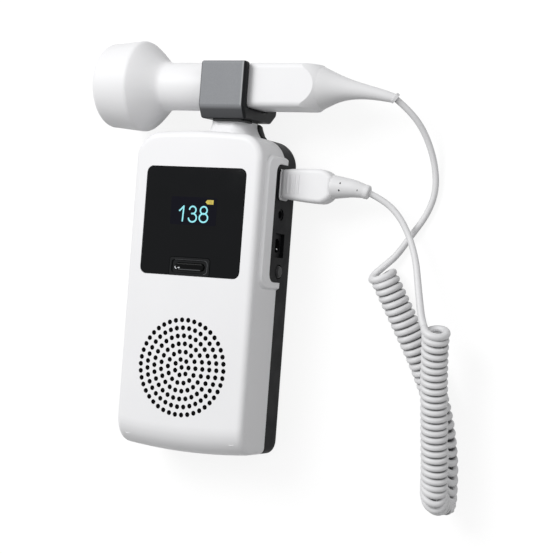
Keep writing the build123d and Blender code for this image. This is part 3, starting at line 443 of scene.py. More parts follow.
def flat_piece(name, shapes, height, finish, body="main"):
    """A thin plate of several shapes, whose top lies at a height."""
    corners, faces = [], []
    for shape, shape_faces in shapes:
        faces += [tuple(len(corners) + k for k in face) for face in shape_faces]
        corners += [(x * mm, y * mm, height - plate_thickness) for x, y in shape]
    mesh = bpy.data.meshes.new(name)
    mesh.from_pydata(corners, [], faces)
    shell = bmesh.new()
    shell.from_mesh(mesh)
    bmesh.ops.remove_doubles(shell, verts=shell.verts, dist=0.002 * mm)
    raised = bmesh.ops.extrude_face_region(shell, geom=shell.faces[:], use_keep_orig=True)
    tops = [item for item in raised["geom"] if isinstance(item, bmesh.types.BMVert)]
    bmesh.ops.translate(shell, vec=(0, 0, plate_thickness), verts=tops)
    bmesh.ops.recalc_face_normals(shell, faces=shell.faces)
    shell.to_mesh(mesh)
    shell.free()
    mesh.materials.append(finish)
    return make_piece(name, mesh, body)


def rounded(left, bottom, right, top, radius):
    """The outline of a rectangle with round corners."""
    outline = arc((right - radius, bottom + radius), radius, -90, 0, steps=5)
    outline += arc((right - radius, top - radius), radius, 0, 90, steps=5)
    outline += arc((left + radius, top - radius), radius, 90, 180, steps=5)
    outline += arc((left + radius, bottom + radius), radius, 180, 270, steps=5)
    return outline


def shining(name, colour, power, gloss=0.3):
    """A surface that glows a little unevenly, like lit dots behind a lens."""
    material, tree, shader, place = start_material(name, scaled(colour, 0.05), gloss,
                                                   Specular_IOR_Level=0.1)
    shader.inputs["Emission Color"].default_value = (*colour, 1)
    dots = noise(tree, place, 0.8)
    tree.links.new(spread(tree, dots, 0.88 * power, 1.06 * power), shader.inputs["Emission Strength"])
    return material


print("strokes are", round(plate_thickness / mm, 3), "mm thick")

# %% Display
lens_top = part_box("display_window")[1][2]
stroke_width = 0.68
bar_width = 0.16
one = [ribbon([(-7.0, 35.6), (-6.3, 36.2), (-5.6, 36.9), (-4.95, 37.6)], stroke_width),
       ribbon([(-4.95, 37.6), (-5.05, 35.4), (-5.15, 33.2), (-5.25, 31.05)], stroke_width)]
three = [ribbon(arc((-0.35, 36.05), 1.65, 170, -75, 0.98) + [(-0.7, 34.45)], stroke_width),
         ribbon([(-0.6, 34.5)] + arc((-0.25, 32.65), 2.0, 85, -170, 0.93), stroke_width)]
eight = [ribbon(arc((5.2, 36.1), 1.7, 0, 352, 0.96, 24), stroke_width),
         ribbon(arc((5.3, 32.75), 2.1, 0, 352, 0.9, 24), stroke_width)]
panel = rounded(-11.5, 29.4, 11.6, 41.8, 0.6)
battery_body = [(6.7, 38.85), (9.8, 38.85), (9.8, 40.75), (6.7, 40.75), (5.8, 39.8)]
battery_lines = [ribbon([(x, 39.1), (x, 39.8), (x, 40.5)], bar_width) for x in (8.1, 8.9)]

flat_piece("display_glow", [(panel, [tuple(range(len(panel)))])], lens_top + 0.02 * mm,
           shining("panel_glow", (0.0015, 0.0016, 0.0062), 1.0, gloss=0.08))
flat_piece("reading_digits", one + three + eight, lens_top + 0.04 * mm,
           shining("digit_glow", (0.36, 0.93, 1.0), 0.92))
flat_piece("battery_sign", [(battery_body, [(0, 1, 2, 3, 4)])], lens_top + 0.04 * mm,
           shining("battery_glow", (0.62, 0.5, 0.1), 1.0))
flat_piece("battery_bars", battery_lines, lens_top + 0.05 * mm,
           shining("battery_bar_glow", (0.25, 0.19, 0.05), 1.0))
print("display lit over the lens at", round(lens_top / mm, 2), "mm")

# %% [markdown]
# ## Black liners in the grille
#
# Every hole of the speaker grille is backed by black acoustic cloth that is pressed a little
# way into it. One liner repeats 148 times, so it is made once and set on the hole centres with
# Geometry Nodes: the points follow the grille's own rule, seven more holes in each ring.

# %% Helpers for Geometry Nodes
def start_tree(name, sizes):
    """An empty Geometry Nodes tree with named number inputs."""
    tree = bpy.data.node_groups.new(name, "GeometryNodeTree")
    tree.interface.new_socket("Geometry", in_out="INPUT", socket_type="NodeSocketGeometry")
    for title, value in sizes.items():
        socket = tree.interface.new_socket(title, in_out="INPUT", socket_type="NodeSocketFloat")
        socket.default_value = value
    tree.interface.new_socket("Geometry", in_out="OUTPUT", socket_type="NodeSocketGeometry")
    return tree, tree.nodes.new("NodeGroupInput"), tree.nodes.new("NodeGroupOutput")


def close_tree(tree, geometry, finish, exit_node):
    """Real geometry and a material at the end of the tree."""
    real = tree.nodes.new("GeometryNodeRealizeInstances")
    dress = tree.nodes.new("GeometryNodeSetMaterial")
    dress.inputs["Material"].default_value = finish
    tree.links.new(geometry, real.inputs["Geometry"])
    tree.links.new(real.outputs["Geometry"], dress.inputs["Geometry"])
    tree.links.new(dress.outputs["Geometry"], exit_node.inputs["Geometry"])


def grown(name, points, tree, sizes, finish, body):
    """The plain mesh that a tree makes on a set of points, riding on a body."""
    seeds = bpy.data.meshes.new(name + "_seeds")
    seeds.from_pydata([tuple(p) for p in points], [], [])
    holder = bpy.data.objects.new(name + "_seeds", seeds)
    bpy.context.scene.collection.objects.link(holder)
    modifier = holder.modifiers.new(name, "NODES")
    modifier.node_group = tree
    for socket in tree.interface.items_tree:
        if socket.in_out == "INPUT" and socket.name in sizes:
            modifier[socket.identifier] = sizes[socket.name]
    ready = holder.evaluated_get(bpy.context.evaluated_depsgraph_get())
    mesh = bpy.data.meshes.new_from_object(ready)
    mesh.name = name
    holder.modifiers.remove(modifier)
    bpy.data.objects.remove(holder)
    mesh.materials.clear()
    mesh.materials.append(finish)
    print(name, "has", len(mesh.polygons), "faces")
    return make_piece(name, mesh, body)

# %% Grille liners
grille_y = -33.5
grille_pitch = 3.49
ring_count = 6
holes_per_ring = 7
liner_height = 35.4 * mm
liner_sizes = {"Liner radius": 1.075 * mm, "Liner depth": 1.9 * mm}
hole_places = [(0.0, grille_y * mm, liner_height)]
for ring in range(1, ring_count + 1):
    for hole in range(holes_per_ring * ring):
        turn = 2 * math.pi * hole / (holes_per_ring * ring)
        hole_places.append((ring * grille_pitch * math.cos(turn) * mm,
                            (grille_y + ring * grille_pitch * math.sin(turn)) * mm, liner_height))

liner_tree, entry, exit_node = start_tree("grille_liners", liner_sizes)
liner = add_node(liner_tree, "GeometryNodeMeshCylinder", Vertices=20)
liner_tree.links.new(entry.outputs["Liner radius"], liner.inputs["Radius"])
liner_tree.links.new(entry.outputs["Liner depth"], liner.inputs["Depth"])
place_them = liner_tree.nodes.new("GeometryNodeInstanceOnPoints")
liner_tree.links.new(entry.outputs["Geometry"], place_them.inputs["Points"])
liner_tree.links.new(liner.outputs["Mesh"], place_them.inputs["Instance"])
liner_black = moulded_plastic("liner_black_finish", (0.0016, 0.0016, 0.0017), (0.85, 0.95),
                              grain=0.12, depth=0.05, drift=0.1, shine=0.05)
close_tree(liner_tree, place_them.outputs["Instances"], liner_black, exit_node)
grown("grille_liners", hole_places, liner_tree, liner_sizes, liner_black, "main")

# %% [markdown]
# ## The curly cord
#
# The cord leaves the probe as a straight tail, runs into a tight spring of about 60 turns
# that hangs down and folds back up on itself, and leaves that as a second tail to the plug.
# The spring has a middle line of its own, a NURBS spline that follows a handful of listed points and
# bends the way a cable does. The turns are wound round that line afterwards.

# %% Cord points
cord_radius = 1.4 * mm
coil_radius = 4.58 * mm
probe_tail_points = [
    (84.7, 88.83, 17.26), (90.8, 83.6, 12.9), (95.9, 74.5, 7.4), (99.2, 62.5, 3.2),
    (99.9, 51.0, 1.8), (96.4, 40.6, 1.8), (89.4, 30.9, 1.8), (84.3, 22.8, 2.5),
    (80.6, 18.9, 3.5), (77.6, 16.0, 4.4), (75.6, 13.8, 5.2),
]
coil_points = [
    (79.4, 14.2, 6.3), (84.92, 5.03, 6.3), (91.7, -6.3, 6.3), (98.3, -17.4, 6.3),
    (104.1, -28.2, 6.3), (108.6, -39.0, 6.3), (111.8, -48.9, 6.3), (113.8, -58.4, 6.3),
    (115.0, -68.0, 6.3), (115.1, -79.7, 6.3), (115.4, -79.7, 19.3), (115.2, -68.0, 19.3),
    (114.1, -56.5, 19.2), (113.0, -44.5, 19.0), (112.0, -32.5, 19.0), (111.2, -20.5, 19.3),
    (111.4, -7.8, 20.0),
]
plug_tail_points = [
    (73.0, 48.6, 13.0), (79.3, 45.9, 10.6), (86.4, 39.8, 9.2), (92.3, 30.6, 9.5),
    (96.9, 20.4, 11.9), (99.9, 10.9, 15.4), (102.7, 1.8, 18.4), (104.4, -4.2, 19.6),
]


def nurbs_line(name, points):
    """The line that Blender draws for a NURBS spline through control points."""
    data = bpy.data.curves.new(name, "CURVE")
    data.dimensions = "3D"
    data.resolution_u = 12
    spline = data.splines.new("NURBS")
    spline.points.add(len(points) - 1)
    for control, place in zip(spline.points, points):
        control.co = (*place, 1.0)
    spline.order_u = 3
    spline.use_endpoint_u = True
    mesh = bpy.data.meshes.new_from_object(bpy.data.objects.new(name, data))
    return np.array([vertex.co for vertex in mesh.vertices], float)


def spaced_along(line, step):
    """The same line with points a set distance apart, and how far along each one is."""
    run = np.concatenate([[0.0], np.cumsum(np.linalg.norm(np.diff(line, axis=0), axis=1))])
    count = max(2, int(round(run[-1] / step)) + 1)
    along = np.linspace(0.0, run[-1], count)
    return np.stack([np.interp(along, run, line[:, k]) for k in range(3)], axis=1), along


def carried_cross(line):
    """Two directions square to the line, carried along it without twisting."""
    ahead = np.gradient(line, axis=0)
    ahead /= np.linalg.norm(ahead, axis=1)[:, None]
    side = np.cross(ahead[0], (0.0, 0.0, 1.0))
    sides = []
    for direction in ahead:
        side = side - direction * side.dot(direction)
        side = side / np.linalg.norm(side)
        sides.append(side)
    sides = np.array(sides)
    return ahead, sides, np.cross(ahead, sides)


axis_line, along = spaced_along(nurbs_line("coil_route", np.array(coil_points) * mm), 0.1 * mm)
print("coil's middle line is", round(along[-1] / mm, 1), "mm long")

# %% [markdown]
# ### Winding the turns
#
# To wind a helix round a bent line, a small cross of two directions is carried along it
# without twisting. The turn's angle grows with the distance travelled, divided by the pitch,
# and the point sits one coil radius away in that direction. The pitch isn't even: the turns
# crowd together in the fold, where the outside of the bend would otherwise gape, and hang a
# little looser just above it. A hanging spring's turns also lean, so each point is pushed
# down in proportion to its height over the middle line, and a little by its place across it,
# which grows towards the fold, where the spring is twisted most.

# %% Pitch and slant along the coil
points_per_turn = 16
turn_lean = 0.45
first_opening, last_opening = 0.12, 0.1

fold_at = along[int(np.argmin(axis_line[:, 1]))]
past_fold = (along - fold_at) / mm
pitch = np.interp(past_fold, [-60, -40, -14, -8, 9, 14, 50, 80],
                  [3.25, 3.35, 3.4, 2.42, 2.22, 2.79, 2.92, 3.06]) * mm
slant = np.interp(past_fold, [-60, -38, -24, -16, -10, -6, 0, 12, 30],
                  [0.14, 0.42, 0.75, 1.1, 1.35, 1.2, 0.35, 0.2, 0.15])
wound = np.concatenate([[0.0], np.cumsum(np.diff(along) / pitch[1:])])
turns = round(wound[-1])
wound = wound * turns / wound[-1]
print("the coil folds", round(fold_at / mm, 1), "mm along and has", turns, "turns")

# %% Wind the coil
first_turn = 0.03
last_turn = turns - 0.03
angles_at = np.arange(first_turn, last_turn, 1 / points_per_turn)
middle_at = np.stack([np.interp(angles_at, wound, axis_line[:, k]) for k in range(3)], axis=1)
ahead, side, over = carried_cross(axis_line)
side_at = np.stack([np.interp(angles_at, wound, side[:, k]) for k in range(3)], axis=1)
over_at = np.stack([np.interp(angles_at, wound, over[:, k]) for k in range(3)], axis=1)
opened = 1 + first_opening * np.clip(1 - (angles_at - first_turn) / 0.3, 0, 1)
opened += last_opening * np.clip(1 - (last_turn - angles_at) / 0.6, 0, 1)
angle = -2 * math.pi * angles_at
ring = (np.cos(angle)[:, None] * side_at + np.sin(angle)[:, None] * over_at) * opened[:, None]
coil = middle_at + coil_radius * ring
coil[:, 1] -= turn_lean * coil_radius * ring[:, 2]
coil[:, 1] -= np.interp(angles_at, wound, slant) * coil_radius * ring[:, 0]
print("coil from", np.round(coil[0] / mm, 1), "to", np.round(coil[-1] / mm, 1))

# %% [markdown]
# ### One cable, two pieces
#
# Tails and turns are the points of one spline, so the cable has no kink where a tail meets the coil.
# The line that Blender draws for it is later swept with a ring of twelve points, a little wider where
# the jacket is thickened: at both ends of the coil, and less so in its first leg. The cable is cut in
# two at the coil's upper end: the first piece runs from the probe, and the second one to the plug.

# %% Line and thickness of the cable
cable_step = 0.9 * mm
end_swell, first_leg_swell = 0.16, 0.1

cable, cable_along = spaced_along(
    nurbs_line("cable_route", np.concatenate([
        np.array(probe_tail_points) * mm, coil, np.array(plug_tail_points[::-1]) * mm])), cable_step)
cut = len(cable) - 1 - int(np.argmin(np.linalg.norm(cable[::-1] - coil[-1], axis=1)))
tail_end = cable_along[int(np.argmin(np.linalg.norm(cable - coil[0], axis=1)))]
past_joins = np.stack([(cable_along - tail_end) / mm, (cable_along[cut] - cable_along) / mm])
swell = np.max([np.interp(past_joins[0], [-30, 0, 20, 45], [0, 1, 1, 0]),
                np.interp(past_joins[1], [-45, -5, 20, 45], [0, 1, 1, 0])], axis=0)
first_leg = np.interp(past_joins[0], [0, 40, 780, 880], [0, 1, 1, 0]) * (1 - swell)
thickness = cord_radius * (1 + end_swell * swell + first_leg_swell * first_leg)
print("cable is", round(cable_along[-1], 3), "m long in all")

# %% [markdown]
# ### Painted shade between the turns
#
# Where turns touch, the jacket is painted a darker grey: this is painted shade. The line averaged over
# one whole turn gives the coil's own direction. An attribute on the mesh says how far each point faces
# along it, towards the next turn, and the material mixes in the grey by that attribute. The straight
# tails travel as fast as their own average, which tells them apart from the coil, where the average
# moves only a pitch for every turn.

# %% Groove shading
turn_steps = 33
tail_speed, speed_fade = 0.5, 0.2
# No painted shade within 12 mm of either end of the coil; it grows in over the next 30 mm.
unshaded_end, unshaded_fade = 12.0, 30.0
groove_from, groove_span, groove_falloff = 0.55, 0.4, 1.5
groove_shade_grey = (0.235, 0.235, 0.24)

padded_cable = np.pad(cable, ((turn_steps // 2, turn_steps // 2), (0, 0)), mode="edge")
coil_middle = np.stack([np.convolve(padded_cable[:, k], np.ones(turn_steps) / turn_steps, "valid")
                        for k in range(3)], axis=1)
coil_ahead = np.gradient(coil_middle, axis=0) / (cable_along[1] - cable_along[0])
speed = np.linalg.norm(coil_ahead, axis=1)
in_coil = np.clip((tail_speed - speed) / speed_fade, 0, 1)
in_coil *= np.clip((past_joins.min(axis=0) - unshaded_end) / unshaded_fade, 0, 1)
coil_ahead /= speed[:, None]


def groove_shade(out, at):
    """How far each point of the jacket faces the next turn, from 0 to 1."""
    facing = np.abs((out * coil_ahead[at][:, None]).sum(axis=2))
    shade = np.clip((facing - groove_from) / groove_span, 0, 1) ** groove_falloff
    return shade * in_coil[at][:, None]


# The jacket's colour is mixed towards the painted shade grey by the groove attribute.
jacket = cord_white.node_tree
jacket_colour = jacket.nodes["Principled BSDF"].inputs["Base Color"]
groove = jacket.nodes.new("ShaderNodeAttribute")
groove.attribute_name = "groove"
jacket.links.new(blend_colour(jacket, groove.outputs["Fac"], jacket_colour.links[0].from_socket,
                              groove_shade_grey), jacket_colour)
print("points in the coil", int((in_coil > 0).sum()), "of", len(cable))

# %% Make the cord
def rows_mesh(name, points, count, finish):
    """Smooth quads between rows of count points each, with a flat face over either end."""
    faces = [(row + k, row + (k + 1) % count, row + count + (k + 1) % count, row + count + k)
             for row in range(0, len(points) - count, count) for k in range(count)]
    faces += [tuple(range(count))[::-1], tuple(range(len(points) - count, len(points)))]
    mesh = bpy.data.meshes.new(name)
    mesh.from_pydata(points.tolist(), [], faces)
    for polygon in mesh.polygons:
        polygon.use_smooth = len(polygon.vertices) == 4
    mesh.materials.append(finish)
    return mesh


def tube(name, line, radius, sides=12, on_cable=None):
    """A mesh tube round a line, with a radius for every point of it."""
    _, side, over = carried_cross(line)
    turn = np.linspace(0, 2 * math.pi, sides, endpoint=False)
    ring = np.cos(turn)[None, :, None] * side[:, None] + np.sin(turn)[None, :, None] * over[:, None]
    points = (line[:, None] + radius[:, None, None] * ring).reshape(-1, 3)
    mesh = rows_mesh(name, points, sides, cord_white)
    if on_cable is not None:
        shade = mesh.attributes.new("groove", "FLOAT", "POINT")
        shade.data.foreach_set("value", groove_shade(ring, on_cable).ravel())
    long = float(np.linalg.norm(np.diff(line, axis=0), axis=1).sum())
    print(name, "is", round(long, 3), "m long, with", len(mesh.polygons), "faces")
    return make_piece(name, mesh), long


curly_path = cable[:cut + 1]
curly_cord, curly_length = tube("curly_cord", curly_path, thickness[:cut + 1],
                                on_cable=np.arange(cut + 1))
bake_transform(curly_cord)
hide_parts("probe_cord", "coil_cord")

plug_path = cable[cut:][::-1]
plug_lead, plug_length = tube("plug_lead", plug_path, thickness[cut:][::-1])
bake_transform(plug_lead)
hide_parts("plug_cord")

# %% [markdown]
# ## The plug's boot
#
# Between the plug and its cable sits a soft boot that tapers and ends in a small collar, so that the
# cable can't kink. It is a tube whose radius changes along its line, so the helper that swept the cable
# makes it too. Its three little moulding holes are painted shade: black dots on its face, short plugs
# that sit in the surface, each turned to face straight out of it.

# %% Plug boot
boot_line_points = [(56.6, 50.45, 14.0), (62.6, 50.35, 13.95), (68.1, 49.95, 13.75),
                    (73.4, 48.6, 12.95)]
boot_line, boot_along = spaced_along(
    nurbs_line("boot_route", np.array(boot_line_points) * mm), 0.35 * mm)
boot_length = boot_along[-1]
boot_radius = np.interp(boot_along / boot_length, [0.0, 0.06, 0.3, 0.6, 0.86, 0.92, 0.985, 1.0],
                        [5.2, 5.15, 4.55, 3.8, 3.1, 3.15, 3.05, 2.6]) * mm
plug_boot, _ = tube("plug_boot", boot_line, boot_radius, sides=36)
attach(plug_boot, "plug")
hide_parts("plug_strain_relief")
print("boot is", round(boot_length / mm, 1), "mm long")

# %% Dots on the boot
# Painted shade: black plugs where the boot has three moulding holes.
dot_radius, dot_depth, dot_sunk = 0.42 * mm, 0.3 * mm, 0.12 * mm
dot_places = ((4.8, 20), (4.6, -20), (12.6, -6))
dots = bmesh.new()
for distance, degrees in dot_places:
    at = int(np.argmin(np.abs(boot_along - distance * mm)))
    out = Vector((0.0, math.sin(math.radians(degrees)), math.cos(math.radians(degrees))))
    middle = Vector(boot_line[at]) + out * float(boot_radius[at] - dot_sunk)
    turn = out.to_track_quat("Z", "Y").to_matrix().to_4x4()
    bmesh.ops.create_cone(dots, cap_ends=True, segments=18, radius1=dot_radius, radius2=dot_radius,
                          depth=dot_depth, matrix=Matrix.Translation(middle) @ turn)
dots_mesh = bpy.data.meshes.new("boot_hole_shade")
dots.to_mesh(dots_mesh)
dots_mesh.materials.append(liner_black)
boot_hole_shade = make_piece("boot_hole_shade", dots_mesh)
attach(boot_hole_shade, "plug")
print("boot has", len(dot_places), "dots")

# %% [markdown]
# ## The clip and the neck's back
#
# These pieces are lofts: a row of outlines, each with the same number of points, joined by
# quads. The clip's outline is its side view with rounded corners, and rows that shrink by a
# quarter circle at either end round its edges off. Extra points close to every corner keep
# the flat faces flat when they are shaded smooth. A foot and a thin dark collar, where the
# clip's stem enters the neck, are short rows of rounded rectangles, and so is the dark half
# of the neck.

# %% Helpers for lofts
corner_gap = 0.25


def loft(name, rows, finish, body):
    """A piece made of rows of points in millimetres, with its faces turned outwards."""
    mesh = rows_mesh(name, np.concatenate(rows) * mm, len(rows[0]), finish)
    shell = bmesh.new()
    shell.from_mesh(mesh)
    bmesh.ops.recalc_face_normals(shell, faces=shell.faces)
    shell.to_mesh(mesh)
    shell.free()
    print(name, "has", len(mesh.polygons), "faces")
    return make_piece(name, mesh, body)


def level(height, outline):
    """An outline in X and Z at a height along Y."""
    return np.array([(x, height, z) for x, z in outline])


def round_corners(corners, steps=6, beside=corner_gap):
    """An outline whose corners are arcs of their own radius, with a point just beside each."""
    outline = []
    for at, (*place, radius) in enumerate(corners):
        here = np.array(place)
        before = np.array(corners[at - 1][:2]) - here
        after = np.array(corners[(at + 1) % len(corners)][:2]) - here
        before /= np.linalg.norm(before)
        after /= np.linalg.norm(after)
        half = math.acos(before @ after) / 2
        reach = radius / math.tan(half)
        hub = here + (before + after) / np.linalg.norm(before + after) * radius / math.sin(half)
        outline.append(here + before * (reach + beside))
        for share in np.linspace(0, 1, steps + 1):
            arm = (1 - share) * (here + before * reach - hub) + share * (here + after * reach - hub)
            outline.append(hub + arm / np.linalg.norm(arm) * radius)
        outline.append(here + after * (reach + beside))
    return np.array(outline)


def shrunk(outline, amount):
    """The outline moved in towards its solid side, which lies left of its run."""
    along_it = np.roll(outline, -1, axis=0) - np.roll(outline, 1, axis=0)
    along_it /= np.linalg.norm(along_it, axis=1)[:, None]
    return outline + amount * np.stack([-along_it[:, 1], along_it[:, 0]], axis=1)

# %% Clip
clip_left, clip_right = -2.6, 19.9
clip_rounding = 1.15
slot_floor, slot_back, slot_front = 82.9, 10.8, 30.8
clip_side_view = [
    (102.8, 35.2, 1.2), (83.2, 35.2, 1.0), (77.4, 32.0, 1.6), (78.3, 6.4, 2.2), (82.4, 1.4, 2.2),
    (102.8, 1.3, 1.2), (102.8, slot_back, 1.2), (slot_floor, slot_back, 2.4),
    (slot_floor, slot_front, 2.4), (102.8, slot_front, 1.2)]
side_view = round_corners(clip_side_view)
ends_in = [(clip_rounding * (1 - math.sin(t)), clip_rounding * (1 - math.cos(t)))
           for t in np.radians([0, 22.5, 45, 67.5, 90])]
ends_in.append((0.0, clip_rounding + corner_gap))
clip_rows = [(clip_left + along_x, inset) for inset, along_x in ends_in]
clip_rows += [(clip_right - along_x, inset) for inset, along_x in ends_in[::-1]]
clip_shell = loft("clip_shell", [
    np.insert(shrunk(side_view, inset), 0, x, axis=1) for x, inset in clip_rows], clip_grey, "main")
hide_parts("probe_holder")

# %% Foot and collar of the clip
foot_x, foot_z, foot_corner = 8.2, 19.0, 0.4
foot_rows = ((70.2, 5.0, 7.0), (72.0, 5.0, 7.0), (72.05, 3.0, 5.0), (78.6, 3.0, 5.0))
loft("clip_foot", [
    level(height, rounded(foot_x - half_x, foot_z - half_z, foot_x + half_x, foot_z + half_z,
                          foot_corner)) for height, half_x, half_z in foot_rows], clip_grey, "main")
collar_outline = rounded(3.0, 21.5, 18.4, 31.2, 1.0)
collar_heights = (76.55, 76.7, 77.9)
clip_collar = loft("clip_collar", [level(height, collar_outline) for height in collar_heights],
                   clip_grey, "main")

# %% Dark half of the neck
neck_corner = 2.4
neck_back_rows = [
    (70.0, -4.2, 5.2, 20.0, 13.4), (72.5, -2.0, 5.2, 17.7, 13.4), (75.5, -0.5, 5.3, 16.4, 13.4),
    (76.9, -0.3, 5.8, 16.2, 13.4), (77.6, 0.2, 6.8, 15.6, 13.0), (77.9, 1.2, 8.2, 14.6, 12.2)]
neck_back = loft("neck_back", [
    level(height, rounded(left, back, right, front, neck_corner))
    for height, left, back, right, front in neck_back_rows], dark_shell, "main")

# %% [markdown]
# ## The probe's flare
#
# Behind its rim the probe narrows in a plain cone, with a soft edge at the rim. The housing's
# mesh is copied and only the points of that stretch are moved, straight in towards the
# probe's own axis, until their distance from it is the one that a spline gives. Points that
# lie in the same place are made one first. Every corner keeps the direction that the CAD
# gave it for shading, and the moved ones get a new one, worked out from the spline's slope.

# %% Flare's profile
probe_axis = (92.9, 20.8)
rim_at = -38.9
flare_from, flare_to = -0.95, 16.3
skin_at, skin_reach = [-45, -36, -22], [17, 9.6, 9.6]
steps_per_mm = 1e4
flare_points = [(-1.0, 20.6), (0.2, 20.72), (1.5, 20.2), (5.2, 17.3), (9.2, 13.6), (11.9, 11.2),
                (14.6, 10.8), (16.4, 10.8)]
flare_line = nurbs_line("flare_route",
                        np.array([(past, 0.0, radius) for past, radius in flare_points]))
flare_slope = np.gradient(flare_line[:, 2], flare_line[:, 0])
print("steepest slope of the flare", round(float(flare_slope.min()), 2))

# %% Read the housing
def read_mesh(mesh):
    """Places of its points, the point at every corner, and the shading direction there."""
    places = np.empty(3 * len(mesh.vertices), np.float32)
    mesh.vertices.foreach_get("co", places)
    corners = np.empty(len(mesh.loops), np.int32)
    mesh.loops.foreach_get("vertex_index", corners)
    shading = np.empty(3 * len(mesh.loops), np.float32)
    mesh.corner_normals.foreach_get("vector", shading)
    return places.reshape(-1, 3) / mm, corners, shading.reshape(-1, 3)


places, corners, shading = read_mesh(nodes["probe_housing"].data)
_, first_of, same_as = np.unique(np.round(places * steps_per_mm).astype(np.int64), axis=0,
                                 return_index=True, return_inverse=True)
places, corners = places[first_of].astype(float), same_as.ravel()[corners]
print("housing has", len(places), "points")

# %% Move the flare
past_rim = places[:, 0] - rim_at
arm = places[:, 1:] - probe_axis
reach = np.linalg.norm(arm, axis=1)
outer_skin = reach > np.interp(places[:, 0], skin_at, skin_reach)
moved = outer_skin & (past_rim > flare_from) & (past_rim < flare_to)
arm /= np.maximum(reach, 1e-6)[:, None]
new_reach = np.interp(past_rim, flare_line[:, 0], flare_line[:, 2])
places[moved, 1:] = arm[moved] * new_reach[moved, None] + probe_axis
slope = np.interp(past_rim, flare_line[:, 0], flare_slope)
new_shading = np.column_stack([-slope, arm]) / np.sqrt(1 + slope ** 2)[:, None]
turned = moved[corners]
shading[turned] = new_shading[corners[turned]]
print("flare moved", int(moved.sum()), "of", len(places), "points")

# %% Make the probe's body
triangles = corners.reshape(-1, 3)
whole = (triangles != np.roll(triangles, 1, axis=1)).all(axis=1)
housing_mesh = bpy.data.meshes.new("probe_body")
housing_mesh.from_pydata((places * mm).tolist(), [], triangles[whole].tolist())
housing_mesh.polygons.foreach_set("use_smooth", [True] * int(whole.sum()))
housing_mesh.normals_split_custom_set(shading.reshape(-1, 3, 3)[whole].reshape(-1, 3).tolist())
housing_mesh.materials.append(probe_white)
probe_body = make_piece("probe_body", housing_mesh)
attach(probe_body, "probe")
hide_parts("probe_housing")
print("probe_body has", len(housing_mesh.polygons), "faces")

# %% [markdown]
# ## The lip of the plug
#
# The plug's moulding ends in a thin flange where it meets the bezel. It is one more loft, of
# three rounded rectangles along X, the first a little smaller so that its edge is bevelled.

# %% Lip of the plug
lip_left, lip_bottom, lip_right, lip_top = 43.5, 9.7, 57.1, 18.3
lip_corner = 2.0
lip_rows = ((32.1, 0.25), (32.25, 0.0), (32.8, 0.0))
plug_lip = loft("plug_lip", [
    np.array([(x, y, z) for y, z in rounded(lip_left + inset, lip_bottom + inset,
                                            lip_right - inset, lip_top - inset, lip_corner)])
    for x, inset in lip_rows], cord_white, "plug")

# %% [markdown]
# ## Painted highlights on small edges
#
# The power button lies in a shallow dish. Thin ribbons of lighter glossy plastic on the dish's right
# and top rim and along the button's own lower edge are painted highlights; they are the ribbon again, a
# few tenths of a millimetre wide. Two small near white ribbons at the button's left end are painted
# glints. In the power socket a spring leaf bulges into the opening and glints there: a stretched ball,
# less than two millimetres long.

# %% Rim of the dish
# Painted highlight: lighter glossy plastic on the dish's rim and the button's lower edge.
rim_highlight = moulded_plastic("rim_highlight_finish", (0.06, 0.062, 0.066), (0.12, 0.2),
                             grain=0.6, depth=0.002, drift=0.1, shine=0.3)
front_top = 36.53 * mm
dish = rounded(-9.0, 7.9, 9.0, 13.9, 1.6)
right_rim = ribbon(dish[5:10][::-1] + dish[0:5][::-1], 0.3)
top_rim = ribbon([(-7.4, 13.9), (-3.0, 13.92), (3.0, 13.92), (7.4, 13.9)], 0.16)
flat_piece("dish_rim_highlight", [right_rim, top_rim], front_top, rim_highlight)
print("dish rim at", round(front_top / mm, 2), "mm")

# %% Spring leaf
leaf_middle = (29.4 * mm, 21.9 * mm, 11.9 * mm)
leaf_radius, leaf_stretch = 0.55 * mm, (1.6, 0.8, 0.8)
leaf_shape = bmesh.new()
bmesh.ops.create_uvsphere(leaf_shape, u_segments=16, v_segments=10, radius=leaf_radius)
bmesh.ops.scale(leaf_shape, vec=leaf_stretch, verts=leaf_shape.verts)
bmesh.ops.translate(leaf_shape, vec=leaf_middle, verts=leaf_shape.verts)
leaf_mesh = bpy.data.meshes.new("jack_leaf")
leaf_shape.to_mesh(leaf_mesh)
leaf_mesh.materials.append(bright_steel)
for polygon in leaf_mesh.polygons:
    polygon.use_smooth = True
jack_leaf = make_piece("jack_leaf", leaf_mesh)
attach(jack_leaf, "main")
print("spring leaf has", len(leaf_mesh.polygons), "faces")

# %% Edges of the bar button
# Painted glints: near white plastic at the button's left end.
painted_glint = moulded_plastic("painted_glint_finish", (0.6, 0.62, 0.64), (0.1, 0.16),
                               grain=0.6, depth=0.002, drift=0.05)
button_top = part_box("power_button")[1][2]
flat_piece("bar_edge_highlight", [ribbon([(-5.2, 9.62), (0.0, 9.6), (5.6, 9.62)], 0.42)],
           button_top + 0.02 * mm, rim_highlight, "power_button")
flat_piece("bar_glint", [ribbon(arc((-5.75, 10.95), 1.3, 190, 240, steps=6), 0.42),
                         ribbon([(-5.5, 10.25), (-5.2, 10.3), (-4.9, 10.3)], 0.5)],
           button_top + 0.03 * mm, painted_glint, "power_button")
print("button top at", round(button_top / mm, 2), "mm")

# %% [markdown]
# ## Floor and light
#
# The floor is a plain pale sheet. Its colour seen by the camera is lifted to white with a
# little glow that only camera, glossy and glass rays see, so it adds no light to the object
# and still takes its soft shadow. Two broad lamps and a pale world give an even studio light:
# the key comes from the upper left, and the fill lifts the side with the sockets.

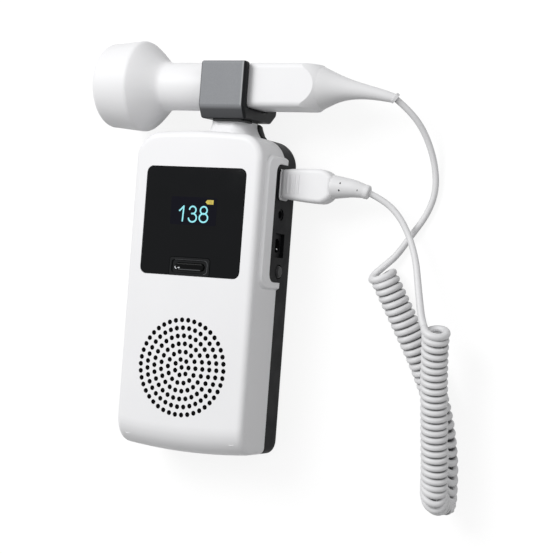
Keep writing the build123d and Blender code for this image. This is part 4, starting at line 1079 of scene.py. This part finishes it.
# %% Floor
def glow_for_viewers(tree, strength):
    """A white glow that camera, glossy and transmission rays see, and lighting doesn't."""
    rays = tree.nodes.new("ShaderNodeLightPath").outputs
    seen = combine(tree, "MAXIMUM", rays["Is Camera Ray"], rays["Is Glossy Ray"])
    seen = combine(tree, "MAXIMUM", seen, rays["Is Transmission Ray"])
    return combine(tree, "MULTIPLY", seen, strength)


floor_half, floor_height = 3.0, -0.0002
floor_glow = 0.865
floor_mesh = bpy.data.meshes.new("floor")
floor_mesh.from_pydata(
    [(-floor_half, -floor_half, floor_height), (floor_half, -floor_half, floor_height),
     (floor_half, floor_half, floor_height), (-floor_half, floor_half, floor_height)],
    [], [(0, 1, 2, 3)])
floor_material, tree, shader, place = start_material("floor_white", (0.16, 0.16, 0.16), 0.9)
shader.inputs["Emission Color"].default_value = (1, 1, 1, 1)
tree.links.new(glow_for_viewers(tree, floor_glow), shader.inputs["Emission Strength"])
floor_mesh.materials.append(floor_material)
floor = make_piece("floor", floor_mesh)
print("floor is", 2 * floor_half, "m wide")

# %% World
world_light, world_seen = 0.4, 1.0
world = bpy.data.worlds.new("studio")
bpy.context.scene.world = world
world.use_nodes = True
tree = world.node_tree
background = tree.nodes["Background"]
background.inputs["Color"].default_value = (1, 1, 1, 1)
strength = spread(tree, glow_for_viewers(tree, 1.0), world_light, world_seen, 0.0, 1.0)
tree.links.new(strength, background.inputs["Strength"])
print("world lights at", world_light)

# %% Lamps
def soft_lamp(name, place, target, size, power):
    """A square lamp of a size in metres and a power in watts, aimed at a target."""
    data = bpy.data.lights.new(name, "AREA")
    data.shape = "SQUARE"
    data.size = size
    data.energy = power
    lamp = bpy.data.objects.new(name, data)
    lamp.location = place
    lamp.rotation_mode = "QUATERNION"
    lamp.rotation_quaternion = (Vector(target) - Vector(place)).to_track_quat("-Z", "Y")
    bpy.context.scene.collection.objects.link(lamp)
    return lamp


middle_of_layout = (0.03, 0.0, 0.02)
key = soft_lamp("key", (-0.45, 0.52, 0.9), middle_of_layout, size=0.6, power=8.8)
fill = soft_lamp("fill", (1.0, 0.5, 0.5), middle_of_layout, size=0.7, power=2.4)
print("lamps", key.name, "and", fill.name, "ready")
